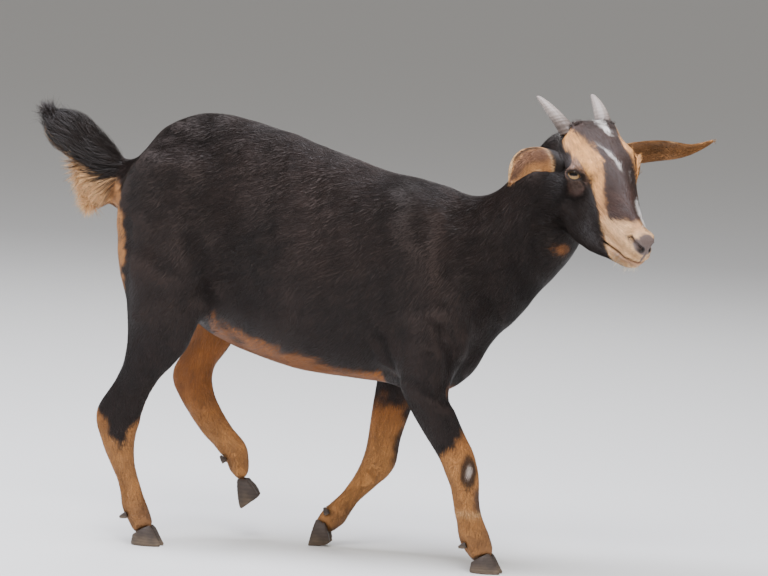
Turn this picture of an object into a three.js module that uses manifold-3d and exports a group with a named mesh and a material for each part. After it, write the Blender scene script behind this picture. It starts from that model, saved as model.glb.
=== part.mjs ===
// A young goat, life size, walking: one smooth body parted with thin cuts into trunk, neck, head,
// tail and legs, with separate ears, horns, eyes, hoof claws and dewclaws.
// Millimetres, +X the way the trunk faces, +Y the goat's left, +Z up, floor at z = 0.
import * as THREE from 'three';
import { mergeVertices } from 'three/addons/utils/BufferGeometryUtils.js';
import Module from 'manifold-3d';

const wasm = await Module();
wasm.setup();

// ---- driving dimensions -------------------------------------------------------------------

const GAP = 0.3; // clear gap between neighbouring pieces
const CUT_REACH = 900; // size of the blocks that part the body
const BLEND_TRUNK = 22; // fillet between large masses
const BLEND_LIMB = 16; // fillet where a leg or the tail leaves the trunk
const BLEND_FACE = 9; // fillet between the masses of the face
const JOINT_CAP = 12; // how far a section of a swept mass rounds over into the next

// Trunk, from rump to chest: x, top line, under line, half width, egg (+ is wider at the top).
const TRUNK = [
  [-336, 467, 404, 26, 0],
  [-310, 492, 368, 50, 0],
  [-284, 525, 326, 66, 0],
  [-246, 545, 284, 78, -0.06],
  [-205, 544, 256, 84, -0.16],
  [-155, 535, 238, 92, -0.2],
  [-100, 515, 224, 97, -0.2],
  [-50, 500, 220, 95, -0.16],
  [0, 484, 217, 86, -0.06],
  [45, 478, 212, 75, 0.04],
  [85, 469, 214, 60, 0.1],
];
const CHEST = { at: [68, 0, 289], radii: [67, 60, 85] };

// Swept masses: x, y, z, half depth, half width. The mirrored side has its own pose.
const NECK = [
  [60, 0, 352, 108, 64],
  [112, -1, 372, 94, 59],
  [150, -4, 396, 73, 51],
  [180, -10, 420, 66, 46],
  [198, -14, 452, 59, 44],
  [205, -15, 490, 46, 43],
];
const TAIL = [
  [-318, 0, 438, 27, 22],
  [-350, 0, 460, 24, 19],
  [-382, 0, 485, 26, 20],
  [-415, 0, 506, 30, 19],
  [-438, 0, 514, 20, 13],
];
const TAIL_FRINGE = [
  [-343, 0, 434, 26, 18],
  [-366, 0, 433, 27, 15],
  [-388, 0, 452, 19, 11],
];

const LEGS = {
  foreleg_right: {
    shoulder: [
      [22, -42, 432, 36, 26],
      [68, -52, 330, 48, 30],
      [66, -60, 262, 46, 27],
    ],
    limb: [
      [66, -62, 262, 42, 26],
      [74, -67, 226, 34, 25],
      [84, -69, 198, 27, 22],
      [99, -69, 171, 24, 20],
      [113, -68, 148, 22.5, 18.5],
      [123, -67, 127, 22.5, 19],
      [128, -66, 106, 19.5, 16],
      [131, -65, 82, 17.5, 14.5],
      [136, -64, 62, 18, 14.5],
      [142, -63, 44, 21, 17],
      [150, -62, 29, 17.5, 16.5],
      [157, -62, 18, 15, 16.5],
    ],
    foot: { at: [158, -62, 0], pitch: 0, turn: -3 },
    dewclaws: { at: [129.5, -63, 32], lean: 20 },
    region: [[14, 243], [124, 196], [220, 196], [220, -40], [20, -40]],
    inner: -14,
  },
  foreleg_left: {
    shoulder: [
      [22, 42, 432, 36, 26],
      [62, 52, 330, 46, 30],
      [34, 58, 262, 44, 27],
    ],
    limb: [
      [30, 60, 262, 42, 26],
      [16, 62, 226, 33, 25],
      [7, 62, 192, 27, 22],
      [1, 61, 163, 24, 20],
      [-3, 60, 137, 22, 18.5],
      [-7, 59, 112, 22.5, 19],
      [-20, 58, 92, 17.5, 16],
      [-37, 57, 70, 13.5, 13],
      [-49, 56.5, 54, 14, 13.5],
      [-60, 56, 40, 17.5, 16],
      [-71, 56, 28, 14.5, 15.5],
      [-78, 56, 21, 13.5, 16],
    ],
    foot: { at: [-86.5, 56, 17.2], pitch: -104, turn: 2 },
    dewclaws: { at: [-70, 56, 46], lean: -60 },
    region: [[-60, 236], [70, 206], [70, -40], [-160, -40], [-160, 120], [-60, 160]],
    inner: 14,
  },
  hindleg_right: {
    shoulder: [
      [-262, -44, 462, 62, 36],
      [-273, -57, 402, 63, 35],
      [-265, -62, 345, 57, 32],
    ],
    limb: [
      [-265, -62, 345, 55, 31],
      [-265, -67, 292, 48, 25],
      [-273, -66, 254, 40, 21],
      [-286, -64, 225, 29, 17],
      [-297, -63, 200, 25, 14.5],
      [-308, -62, 178, 27, 14.5],
      [-316, -62, 158, 30.5, 15],
      [-315, -62, 136, 25.5, 14.5],
      [-311, -62, 114, 19.5, 13.5],
      [-303, -62, 90, 15.5, 12.5],
      [-295, -62, 66, 15, 12.5],
      [-289, -62, 47, 17.5, 15.5],
      [-281, -62, 31, 15, 15.5],
      [-275, -62, 19, 14.5, 16],
    ],
    foot: { at: [-272, -62, 0], pitch: 0, turn: -4 },
    dewclaws: { at: [-301.5, -62, 35], lean: 20 },
    region: [[-203, 322], [-360, 392], [-420, 392], [-420, -40], [-203, -40]],
    inner: 0,
  },
  hindleg_left: {
    shoulder: [
      [-260, 44, 462, 60, 36],
      [-262, 57, 402, 61, 35],
      [-242, 62, 345, 54, 32],
    ],
    limb: [
      [-242, 62, 345, 52, 31],
      [-228, 66, 290, 42, 25],
      [-232, 64, 254, 29, 19],
      [-244, 60, 228, 23.5, 16],
      [-254, 58, 205, 28, 15],
      [-248, 57, 184, 24.5, 14.5],
      [-237, 56, 163, 21.5, 13.5],
      [-223, 56, 143, 20, 13],
      [-208, 55, 126, 18.5, 13],
      [-193, 55, 112, 18, 15.5],
      [-187, 55, 95, 14.5, 15.5],
      [-186, 55, 83, 14, 16],
    ],
    foot: { at: [-184.5, 55, 60], pitch: -82, turn: 3 },
    dewclaws: { at: [-206.5, 55, 101.5], lean: -50 },
    region: [[-203, 322], [-360, 392], [-420, 392], [-420, -40], [-140, -40], [-140, 180], [-203, 230]],
    inner: 0,
  },
};

// Head: its own frame, origin on the forehead between the horns, s along the nose,
// t out of the forehead, l to the goat's left. It is turned to the goat's right and hangs a little.
const HEAD_ORIGIN = new THREE.Vector3(277, -68, 556);
const HEAD_TURN = -40; // degrees about +Z
const HEAD_PITCH = 46; // degrees, nose down
const HEAD_ROLL = 3; // degrees about the nose line, left side up
const HEAD_MASSES = [ // centre s, t, l, radii s, t, l ; l other than 0 is mirrored
  [4, -41, 0, 38, 37, 42],
  [28, -36, 0, 44, 32, 42],
  [36, -24, 33, 21, 13, 15],
  [36, -44, 30, 19, 17, 16],
  [62, -62, 0, 52, 44, 34],
  [58, -84, 20, 36, 30, 16],
  [-16, -25, 25, 13, 13, 13],
  [-30, -84, 0, 26, 34, 34],
];
const HEAD_SWEEPS = [ // stations s, t, l, half depth, half width
  {
    mirror: false,
    path: [
      [40, -38, 0, 32, 38.5],
      [80, -45.5, 0, 27.5, 30],
      [116, -48, 0, 23, 25],
      [144, -44, 0, 19, 18.5],
    ],
  },
  {
    mirror: false,
    path: [[58, -90, 0, 19, 22], [96, -86, 0, 16, 16], [132, -76, 0, 11, 10]],
  },
  {
    mirror: true,
    path: [[48, -98, 24, 21, 11], [90, -95, 20, 18.5, 10], [124, -80, 11, 13.5, 9], [152, -66, 5, 10, 9]],
  },
];
const MUZZLE_MASSES = [
  [149, -43, 0, 18, 17, 17.5],
  [149, -33, 8, 13, 8.5, 8.5],
  [151, -53, 8, 13, 10, 10],
  [150, -66, 0, 15, 9, 12],
];
const EYE = { at: [35.7, -44.6, 37], radius: 12.5 };
const HORN = {
  base: [-28, -24, 27],
  length: 62,
  radiusFore: 12.5,
  radiusSide: 10,
  spread: 20, // degrees, as are lift and bend
  lift: -2,
  bend: 13,
};
const EAR_RIGHT = [ // s, t, l, half width, cup angle
  [5, -56, -33, 13, 1.35],
  [5, -54, -45, 16, 1.2],
  [5, -50, -60, 18, 0.95],
  [6, -47, -76, 18.5, 0.85],
  [10, -44, -96, 17.5, 0.85],
  [19, -50, -112, 13, 0.8],
  [27, -58.5, -120, 6.5, 0.6],
  [31, -63, -124, 2, 0.4],
];
const EAR_LEFT = [
  [5, -53, 34, 13, 1.35],
  [4, -49, 46, 15.5, 1.2],
  [6, -42, 72, 15.5, 1.1],
  [8, -37, 99, 14.5, 1.05],
  [11, -36, 122, 12, 1.0],
  [13, -34, 143, 8, 0.9],
  [13, -27, 162, 4.5, 0.7],
  [12, -19, 175, 2, 0.5],
];
const EAR_OPEN = { right: [-0.2, 0.85, -0.5], left: [0.77, -0.64, -0.35] }; // the way each hollow looks
const EAR_THICK = 3.2;

// Hoof claw, in the foot's frame: x to the toe, y across, z up from the sole.
const CLAW = {
  toe: 21,
  heel: -18,
  half: 7.8,
  offset: 8.6,
  topToe: 10,
  topHeel: -16,
  height: 22,
  heelHeight: 13,
};
const DEWCLAW = { radius: 4.2, length: 10, spread: 9 };

// Size of the facets of each node: x, y, z.
const CELL = {
  trunk: [35, 26, 30],
  neck: [25, 20, 23],
  head: [10.3, 10.3, 10.3],
  tail: [18, 13, 17],
  leg: [13.5, 11.3, 19],
};

// ---- distance functions --------------------------------------------------------------------

const blend = (a, b, k) => {
  const h = Math.max(k - Math.abs(a - b), 0) / k;
  return Math.min(a, b) - h * h * k * 0.25;
};

// Catmull-Rom interpolation of station rows, a few steps to each span.
function refine(rows, steps) {
  const out = [];
  for (let i = 0; i < rows.length - 1; i += 1) {
    const p0 = rows[Math.max(i - 1, 0)];
    const p1 = rows[i];
    const p2 = rows[i + 1];
    const p3 = rows[Math.min(i + 2, rows.length - 1)];
    for (let j = 0; j < steps; j += 1) {
      const t = j / steps;
      out.push(p1.map((_, c) => 0.5 * (2 * p1[c] + (p2[c] - p0[c]) * t
        + (2 * p0[c] - 5 * p1[c] + 4 * p2[c] - p3[c]) * t * t
        + (3 * p1[c] - p0[c] - 3 * p2[c] + p3[c]) * t * t * t)));
    }
  }
  out.push(rows[rows.length - 1]);
  return out;
}

// Distance to an ellipse-section tube through stations [x, y, z, half depth, half width, egg].
// The width runs along Y; each end is closed by a cap of the given length.
// An upright one keeps every section square to X.
function sweep(rows, { steps = 4, capStart = 12, capEnd = 12, upright = false } = {}) {
  const stations = refine(rows.map((r) => (r.length === 6 ? r : [...r, 0])), steps);
  const reach = Math.max(...stations.map((s) => Math.max(s[3], s[4])));
  const low = [0, 1, 2].map((c) => Math.min(...stations.map((s) => s[c])) - reach);
  const high = [0, 1, 2].map((c) => Math.max(...stations.map((s) => s[c])) + reach);
  return (x, y, z) => {
    const away = Math.max(low[0] - x, x - high[0], low[1] - y, y - high[1], low[2] - z, z - high[2]);
    if (away > 60) return away;
    let best = Infinity;
    for (let i = 0; i < stations.length - 1; i += 1) {
      const a = stations[i];
      const b = stations[i + 1];
      const ux = b[0] - a[0];
      const uy = upright ? 0 : b[1] - a[1];
      const uz = upright ? 0 : b[2] - a[2];
      const length = Math.hypot(ux, uy, uz);
      const along = ((x - a[0]) * ux + (y - a[1]) * uy + (z - a[2]) * uz) / length;
      const t = Math.min(Math.max(along / length, 0), 1);
      const depth = a[3] + (b[3] - a[3]) * t;
      const lat = y - (a[1] + uy * t);
      const dx = x - (a[0] + ux * t);
      const dz = z - (a[2] + (b[2] - a[2]) * t);
      const flat = Math.hypot(ux, uz);
      const up = (dz * ux - dx * uz) / flat;
      const egg = a[5] + (b[5] - a[5]) * t;
      const tilt = 1 + egg * Math.min(Math.max(up / depth, -1), 1);
      const width = (a[4] + (b[4] - a[4]) * t) * tilt;
      const over = along - t * length;
      let cap = JOINT_CAP;
      if (i === 0 && over < 0) cap = capStart;
      if (i === stations.length - 2 && over > 0) cap = capEnd;
      const sag = Math.hypot(up, over * Math.max(depth / cap, 1));
      const k0 = Math.hypot(sag / depth, lat / width);
      const k1 = Math.hypot(sag / (depth * depth), lat / (width * width));
      const d = k1 < 1e-9 ? -Math.min(depth, width) : (k0 * (k0 - 1)) / k1;
      if (d < best) best = d;
    }
    return best;
  };
}

const ellipsoid = ([cx, cy, cz], [rx, ry, rz]) => (x, y, z) => {
  const [px, py, pz] = [x - cx, y - cy, z - cz];
  const k0 = Math.hypot(px / rx, py / ry, pz / rz);
  const k1 = Math.hypot(px / (rx * rx), py / (ry * ry), pz / (rz * rz));
  return k1 < 1e-9 ? -Math.min(rx, ry, rz) : (k0 * (k0 - 1)) / k1;
};

// ---- the head's frame ------------------------------------------------------------------------

const headAxes = (() => {
  const [turn, pitch, roll] = [HEAD_TURN, HEAD_PITCH, HEAD_ROLL].map(THREE.MathUtils.degToRad);
  const s = new THREE.Vector3(
    Math.cos(turn) * Math.cos(pitch),
    Math.sin(turn) * Math.cos(pitch),
    -Math.sin(pitch),
  );
  const level = new THREE.Vector3(-Math.sin(turn), Math.cos(turn), 0);
  const l = level.clone().applyAxisAngle(s, roll);
  const t = new THREE.Vector3().crossVectors(s, l);
  return { s, t, l };
})();
const fromHead = (s, t, l) => HEAD_ORIGIN.clone()
  .addScaledVector(headAxes.s, s)
  .addScaledVector(headAxes.t, t)
  .addScaledVector(headAxes.l, l);

function headDistance() {
  // inside this frame the tube functions' x, y, z are s, l, t
  const soft = [];
  for (const [s, t, l, rs, rt, rl] of HEAD_MASSES) {
    soft.push(ellipsoid([s, l, t], [rs, rl, rt]));
    if (l) soft.push(ellipsoid([s, -l, t], [rs, rl, rt]));
  }
  for (const { mirror, path } of HEAD_SWEEPS) {
    for (const side of mirror ? [1, -1] : [1]) {
      const stations = path.map(([s, t, l, depth, width]) => [s, side * l, t, depth, width]);
      soft.push(sweep(stations, { steps: 3, capStart: 16, capEnd: 12 }));
    }
  }
  const muzzle = [];
  for (const [s, t, l, rs, rt, rl] of MUZZLE_MASSES) {
    muzzle.push(ellipsoid([s, l, t], [rs, rl, rt]));
    if (l) muzzle.push(ellipsoid([s, -l, t], [rs, rl, rt]));
  }
  const { s: S, t: T, l: L } = headAxes;
  return (x, y, z) => {
    const [px, py, pz] = [x - HEAD_ORIGIN.x, y - HEAD_ORIGIN.y, z - HEAD_ORIGIN.z];
    const a = px * S.x + py * S.y + pz * S.z;
    const b = px * L.x + py * L.y + pz * L.z;
    const c = px * T.x + py * T.y + pz * T.z;
    if (Math.hypot(a - 60, b, c + 55) > 220) return Math.hypot(a - 60, b, c + 55) - 160;
    let d = soft[0](a, b, c);
    for (const f of soft.slice(1)) d = blend(d, f(a, b, c), BLEND_FACE * 1.4);
    for (const f of muzzle) d = blend(d, f(a, b, c), BLEND_FACE * 0.8);
    return d;
  };
}

function bodyDistance() {
  const trunkRows = TRUNK.map(([x, top, under, half, egg]) => {
    return [x, 0, (top + under) / 2, (top - under) / 2, half, egg];
  });
  const large = [
    sweep(trunkRows, { capStart: 14, capEnd: 18, upright: true }),
    ellipsoid(CHEST.at, CHEST.radii),
    sweep(NECK, { capStart: 30, capEnd: 26 }),
    ...Object.values(LEGS).map((leg) => sweep(leg.shoulder, { capStart: 30, capEnd: 30 })),
  ];
  const small = [
    ...Object.values(LEGS).map((leg) => sweep(leg.limb, { capStart: 20, capEnd: 6 })),
    sweep(TAIL, { capEnd: 14 }),
    sweep(TAIL_FRINGE),
  ];
  const head = headDistance();
  return (x, y, z) => {
    let d = large[0](x, y, z);
    for (const f of large.slice(1)) d = blend(d, f(x, y, z), BLEND_TRUNK);
    for (const f of small) d = blend(d, f(x, y, z), BLEND_LIMB);
    return blend(d, head(x, y, z), BLEND_LIMB);
  };
}

// ---- surfaces ----------------------------------------------------------------------------------

const CORNERS = Array.from({ length: 8 }, (_, c) => [c & 1, (c >> 1) & 1, (c >> 2) & 1]);
const BITS = [1, 2, 4];

// Labels the eight corners of a cell so that each sheet of surface in it separates its own pair
// of labels. Outside corners also join across the diagonal of a face, inside ones never do.
function cornerLabels(inside) {
  const label = [0, 1, 2, 3, 4, 5, 6, 7];
  const join = (a, b) => {
    const [keep, drop] = [label[a], label[b]];
    for (let c = 0; c < 8; c += 1) if (label[c] === drop) label[c] = keep;
  };
  for (let a = 0; a < 8; a += 1) {
    for (const bit of BITS) {
      if (inside[a] === inside[a ^ bit]) join(a, a ^ bit);
      for (const other of BITS) {
        const facing = a ^ bit ^ other;
        const bothOut = facing !== a && !inside[a] && !inside[facing];
        if (bothOut && inside[a ^ bit] && inside[a ^ other]) join(a, facing);
      }
    }
  }
  return label;
}

// Surface net of a distance function in a box: one vertex for each sheet of surface in a cell,
// pulled onto the surface.
function surfaceNet(distance, box, cell) {
  const size = box.getSize(new THREE.Vector3()).toArray();
  const count = size.map((length, c) => Math.ceil(length / cell[c]) + 1);
  const at = (c, i) => box.min.getComponent(c) + i * cell[c];
  const index = (i, j, k) => i + count[0] * (j + count[1] * k);
  const values = new Float64Array(count[0] * count[1] * count[2]);
  for (let k = 0; k < count[2]; k += 1) {
    for (let j = 0; j < count[1]; j += 1) {
      for (let i = 0; i < count[0]; i += 1) {
        const edge = [i, j, k].some((n, c) => n === 0 || n === count[c] - 1);
        values[index(i, j, k)] = edge ? 1 : distance(at(0, i), at(1, j), at(2, k));
      }
    }
  }
  const points = [];
  const cells = new Map();
  for (let k = 0; k < count[2] - 1; k += 1) {
    for (let j = 0; j < count[1] - 1; j += 1) {
      for (let i = 0; i < count[0] - 1; i += 1) {
        const v = CORNERS.map(([a, b, c]) => values[index(i + a, j + b, k + c)]);
        if (v.every((d) => d < 0) || v.every((d) => d >= 0)) continue;
        const label = cornerLabels(v.map((d) => d < 0));
        const sheets = {};
        for (let a = 0; a < 8; a += 1) {
          for (const bit of BITS) {
            const b = a ^ bit;
            if (v[a] >= 0 || v[b] < 0) continue;
            const t = v[a] / (v[a] - v[b]);
            const sheet = (sheets[label[a] * 8 + label[b]] ??= { sum: [0, 0, 0], crossings: 0 });
            for (let c = 0; c < 3; c += 1) {
              sheet.sum[c] += CORNERS[a][c] + (CORNERS[b][c] - CORNERS[a][c]) * t;
            }
            sheet.crossings += 1;
          }
        }
        for (const sheet of Object.values(sheets)) {
          sheet.vertex = points.length;
          points.push([i, j, k].map((n, c) => at(c, n + sheet.sum[c] / sheet.crossings)));
        }
        cells.set(index(i, j, k), { label, sheets });
      }
    }
  }
  const step = 0.5;
  const inner = box.clone().expandByScalar(-1.6 * Math.max(...cell));
  for (const p of points) {
    if (!inner.containsPoint(new THREE.Vector3(...p))) continue;
    for (let pass = 0; pass < 3; pass += 1) {
      const d = distance(...p);
      const g = [0, 1, 2].map((c) => {
        const q = [...p];
        q[c] += step;
        return (distance(...q) - d) / step;
      });
      const g2 = g[0] * g[0] + g[1] * g[1] + g[2] * g[2];
      if (g2 < 0.05) break;
      const pull = Math.max(Math.min(d / g2, cell[0] * 0.3), -cell[0] * 0.3);
      for (let c = 0; c < 3; c += 1) p[c] -= g[c] * pull;
    }
  }
  const triangles = [];
  const quad = (a, b, c, d, flip) => {
    const diagonal = (m, n) => Math.hypot(...[0, 1, 2].map((q) => points[m][q] - points[n][q]));
    const faces = diagonal(a, c) <= diagonal(b, d) ? [[a, b, c], [a, c, d]] : [[a, b, d], [b, c, d]];
    for (const f of faces) triangles.push(...(flip ? [f[0], f[2], f[1]] : f));
  };
  for (let k = 0; k < count[2] - 1; k += 1) {
    for (let j = 0; j < count[1] - 1; j += 1) {
      for (let i = 0; i < count[0] - 1; i += 1) {
        const here = values[index(i, j, k)] < 0;
        const vertexAt = (a, b, c, bit) => {
          const { label, sheets } = cells.get(index(i - a, j - b, k - c));
          const corner = a + 2 * b + 4 * c;
          const [p, q] = [label[corner], label[corner ^ bit]];
          return sheets[here ? p * 8 + q : q * 8 + p].vertex;
        };
        const ring = (cellsRound, bit) => {
          quad(...cellsRound.map((cell) => vertexAt(...cell, bit)), !here);
        };
        if (j && k && here !== values[index(i + 1, j, k)] < 0) {
          ring([[0, 1, 1], [0, 0, 1], [0, 0, 0], [0, 1, 0]], 1);
        }
        if (i && k && here !== values[index(i, j + 1, k)] < 0) {
          ring([[1, 0, 1], [1, 0, 0], [0, 0, 0], [0, 0, 1]], 2);
        }
        if (i && j && here !== values[index(i, j, k + 1)] < 0) {
          ring([[1, 1, 0], [0, 1, 0], [0, 0, 0], [1, 0, 0]], 4);
        }
      }
    }
  }
  const geometry = new THREE.BufferGeometry();
  geometry.setAttribute('position', new THREE.Float32BufferAttribute(points.flat(), 3));
  geometry.setIndex(triangles);
  return geometry;
}

// Closed skin over rings of equally many points. Each end is a strip between the two halves
// of its ring, so a bent section closes without crossing itself.
function loft(rings) {
  const around = rings[0].length;
  const positions = rings.flat().flatMap((p) => p.toArray());
  const last = (rings.length - 1) * around;
  const faces = [];
  for (let j = 0; j < around; j += 1) {
    const next = (j + 1) % around;
    for (let i = 0; i < rings.length - 1; i += 1) {
      const [a, b] = [i * around + j, i * around + next];
      faces.push(a, b, b + around, a, b + around, a + around);
    }
  }
  for (let j = 0; j < around / 2 - 1; j += 1) {
    const [a, b, c, d] = [j, j + 1, around - 2 - j, around - 1 - j];
    faces.push(a, c, b, a, d, c);
    faces.push(last + a, last + b, last + c, last + a, last + c, last + d);
  }
  const geometry = new THREE.BufferGeometry();
  geometry.setAttribute('position', new THREE.Float32BufferAttribute(positions, 3));
  geometry.setIndex(faces);
  return outward(geometry);
}

function outward(geometry) {
  const p = geometry.getAttribute('position');
  const index = geometry.getIndex().array;
  const [a, b, c] = [new THREE.Vector3(), new THREE.Vector3(), new THREE.Vector3()];
  let volume = 0;
  for (let i = 0; i < index.length; i += 3) {
    [a, b, c].forEach((v, n) => v.fromBufferAttribute(p, index[i + n]));
    volume += a.dot(b.cross(c));
  }
  if (volume < 0) {
    geometry.setIndex(Array.from(index, (_, i) => index[i - (i % 3) + [0, 2, 1][i % 3]]));
  }
  return geometry;
}

function solid(geometry) {
  const merged = geometry.clone();
  merged.deleteAttribute('normal');
  merged.deleteAttribute('uv');
  const clean = mergeVertices(merged, 1e-4);
  return new wasm.Manifold(new wasm.Mesh({
    numProp: 3,
    vertProperties: new Float32Array(clean.getAttribute('position').array),
    triVerts: new Uint32Array(clean.getIndex().array),
  }));
}

function fromSolid(manifold) {
  const mesh = manifold.getMesh();
  const geometry = new THREE.BufferGeometry();
  geometry.setAttribute('position', new THREE.Float32BufferAttribute(mesh.vertProperties, 3));
  geometry.setIndex(Array.from(mesh.triVerts));
  geometry.computeVertexNormals();
  return geometry;
}

// ---- cutting blocks --------------------------------------------------------------------------

// Block on the side of a plane that its normal points to, starting half a gap from the plane.
function halfSpace(point, normal) {
  const n = new THREE.Vector3(...normal).normalize();
  const block = new THREE.BoxGeometry(CUT_REACH, CUT_REACH, CUT_REACH);
  block.translate(0, 0, CUT_REACH / 2 + GAP / 2);
  block.applyQuaternion(new THREE.Quaternion().setFromUnitVectors(new THREE.Vector3(0, 0, 1), n));
  block.translate(...point);
  return solid(block);
}

// Prism over a leg's outline in X and Z, reaching from its inner side outwards.
function legBlock({ region, inner }, side, grow) {
  const outline = new THREE.Shape(region.map(([x, z]) => new THREE.Vector2(x, z)));
  const block = new THREE.ExtrudeGeometry(outline, { depth: CUT_REACH / 4, bevelEnabled: false });
  block.rotateX(Math.PI / 2);
  block.translate(0, side > 0 ? CUT_REACH / 4 + inner + GAP / 2 - grow : inner - GAP / 2 + grow, 0);
  if (grow) {
    const [cx, cz] = [0, 1].map((c) => region.reduce((sum, p) => sum + p[c], 0) / region.length);
    const spread = 1 + (2 * grow) / 160;
    block.translate(-cx, 0, -cz);
    block.scale(spread, 1, spread);
    block.translate(cx, 0, cz);
  }
  return solid(block);
}

// ---- hard parts and ears ------------------------------------------------------------------------

const across = (ring, count) => Array.from({ length: count }, (_, i) => ring((2 * Math.PI * i) / count));

// One claw of a hoof: a pointed sole, a sloping toe wall and a domed top inside the coronet.
function clawGeometry(side, grow) {
  const { toe, heel, half, offset, topToe, topHeel, height, heelHeight } = CLAW;
  const level = (front, back, width, zFront, zBack, cut) => across((a) => {
    const c = Math.cos(a);
    const x = (front + back) / 2 + ((front - back) / 2) * c;
    const taper = 1 - 0.42 * Math.max(c, 0) ** 2;
    const y = Math.sin(a) * width * taper * (Math.sin(a) * side < 0 ? 0.82 : 1);
    const z = zBack + ((zFront - zBack) * (c + 1)) / 2;
    return new THREE.Vector3(x, y + side * offset - side * 1.6 * Math.max(c, 0) ** 2, z - cut);
  }, 8);
  return loft([
    level(toe - 1.2, heel + 1.5, half - 1 + grow, 0, 0, grow),
    level(toe + grow, heel - grow, half + grow, 2.5, 2.2, 0),
    level(
      (toe + topToe) / 2 + grow, (heel + topHeel) / 2 - grow, half + grow,
      height * 0.5, heelHeight * 0.55, 0,
    ),
    level(topToe + grow, topHeel - grow, half - 0.8 + grow, height, heelHeight, 0),
    level(
      topToe - 5 + grow, topHeel + 6 - grow, half - 3 + grow,
      height + 3.5 + grow, heelHeight + 5 + grow, 0,
    ),
  ]);
}

function placeFoot(geometry, { at, pitch, turn }) {
  geometry.rotateY(THREE.MathUtils.degToRad(-pitch));
  geometry.rotateZ(THREE.MathUtils.degToRad(turn));
  geometry.translate(...at);
  return geometry;
}

function dewclawGeometry({ at, lean }, side, grow) {
  const rings = [0, 0.5, 1].map((t) => across((a) => {
    const r = (DEWCLAW.radius + grow) * Math.sqrt(Math.max(1 - t * t * 0.86, 0.05));
    const z = (DEWCLAW.length + grow) * (t - 0.55) - (t ? 0 : grow);
    return new THREE.Vector3(Math.cos(a) * r, Math.sin(a) * r, z);
  }, 6));
  const geometry = loft(rings);
  geometry.rotateY(THREE.MathUtils.degToRad(-(90 + lean)));
  geometry.translate(at[0], at[1] + side * DEWCLAW.spread, at[2]);
  return geometry;
}

// Horn: a short tapering cone that curves back, oval at its root.
function hornGeometry(side, grow) {
  const { base, length, radiusFore, radiusSide, spread, lift, bend } = HORN;
  const rings = [];
  for (let i = 0; i <= 6; i += 1) {
    const t = i / 6;
    const taper = Math.sqrt(1 - 0.97 * t ** 1.6) * (1 - 0.18 * t);
    const s = base[0] + 12 - (length + 12) * t * 0.86;
    const h = base[1] - 8 + (lift + 12) * t - bend * t * t;
    const l = side * (base[2] + spread * t * (1 - 0.25 * t));
    rings.push(across((a) => fromHead(
      s + Math.sin(a) * (radiusFore * taper + grow) * 0.45,
      h + Math.sin(a) * (radiusFore * taper + grow) * 0.9,
      l + Math.cos(a) * (radiusSide * taper + grow),
    ), 8));
  }
  return loft(rings);
}

// Ear: a cupped leaf of even thickness along a bent midrib; its hollow looks along `open`.
function earGeometry(rows, open, grow) {
  const ribs = refine(rows, 2).filter((_, i) => i % 2 === 0 || i > 7);
  const centre = ribs.map(([s, t, l]) => fromHead(s, t, l));
  const rings = ribs.map((row, i) => {
    const half = row[3];
    const cup = row[4];
    const next = centre[Math.min(i + 1, ribs.length - 1)];
    const ahead = next.clone().sub(centre[Math.max(i - 1, 0)]).normalize();
    const face = open.clone().addScaledVector(ahead, -open.dot(ahead)).normalize();
    const wide = new THREE.Vector3().crossVectors(ahead, face);
    const radius = half / Math.sin(Math.min(cup, 1.5));
    const beyondEnd = { 0: -grow, [ribs.length - 1]: grow }[i] ?? 0;
    const shell = (v, offset) => {
      const a = (cup + grow / radius) * v;
      const r = radius + offset;
      return centre[i].clone()
        .addScaledVector(ahead, beyondEnd)
        .addScaledVector(wide, Math.sin(a) * r)
        .addScaledVector(face, radius * 0.5 * (1 + Math.cos(cup)) - Math.cos(a) * r);
    };
    const thin = EAR_THICK / 2 + grow;
    const steps = [-1, -0.5, 0, 0.5, 1];
    return [...steps.map((v) => shell(v, thin)), ...steps.map((v) => shell(-v, -thin))];
  });
  return loft(rings);
}

// ---- assembly --------------------------------------------------------------------------------------

const COLOURS = {
  coat: 0x2d2422,
  tan: 0xa5693a,
  ear: 0xb08050,
  horn: 0x8f8a88,
  hoof: 0x4a4038,
  eye: 0xc8a860,
};
const finish = (color, roughness) => new THREE.MeshStandardMaterial({ color, roughness, metalness: 0 });

const goat = new THREE.Group();
function add(name, geometry, colour, roughness) {
  const mesh = new THREE.Mesh(geometry, finish(colour, roughness));
  mesh.name = name;
  goat.add(mesh);
}

const body = bodyDistance();
const boxOf = (low, high) => new THREE.Box3(new THREE.Vector3(...low), new THREE.Vector3(...high));
const meshed = (low, high, cell) => solid(surfaceNet(body, boxOf(low, high), cell));

const neckCut = { point: [127, 0, 375], normal: [0.96, 0, 0.27] };
const headCut = (() => {
  const point = fromHead(-6, -78, 0);
  const normal = headAxes.s.clone().multiplyScalar(0.72).addScaledVector(headAxes.t, 0.69);
  return { point: point.toArray(), normal: normal.toArray() };
})();
const tailCut = { point: [-342, 0, 462], normal: [-0.95, 0, 0.3] };
const opposite = (v) => v.map((c) => -c);
const beyond = ({ point, normal }) => halfSpace(point, normal);
const before = ({ point, normal }) => halfSpace(point, opposite(normal));

// trunk: the body less the blocks of the four legs
let trunk = meshed([-400, -130, 160], [190, 130, 580], CELL.trunk)
  .intersect(before(neckCut))
  .intersect(before(tailCut));
for (const [name, leg] of Object.entries(LEGS)) {
  const side = name.endsWith('left') ? 1 : -1;
  trunk = trunk.subtract(legBlock(leg, side, GAP));
}
add('trunk', fromSolid(trunk), COLOURS.coat, 0.75);

const neck = meshed([60, -110, 240], [290, 80, 590], CELL.neck)
  .intersect(beyond(neckCut))
  .intersect(before(headCut));
add('neck', fromSolid(neck), COLOURS.coat, 0.75);

const tail = meshed([-490, -50, 370], [-300, 50, 580], CELL.tail).intersect(beyond(tailCut));
add('tail', fromSolid(tail), COLOURS.coat, 0.9);

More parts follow.
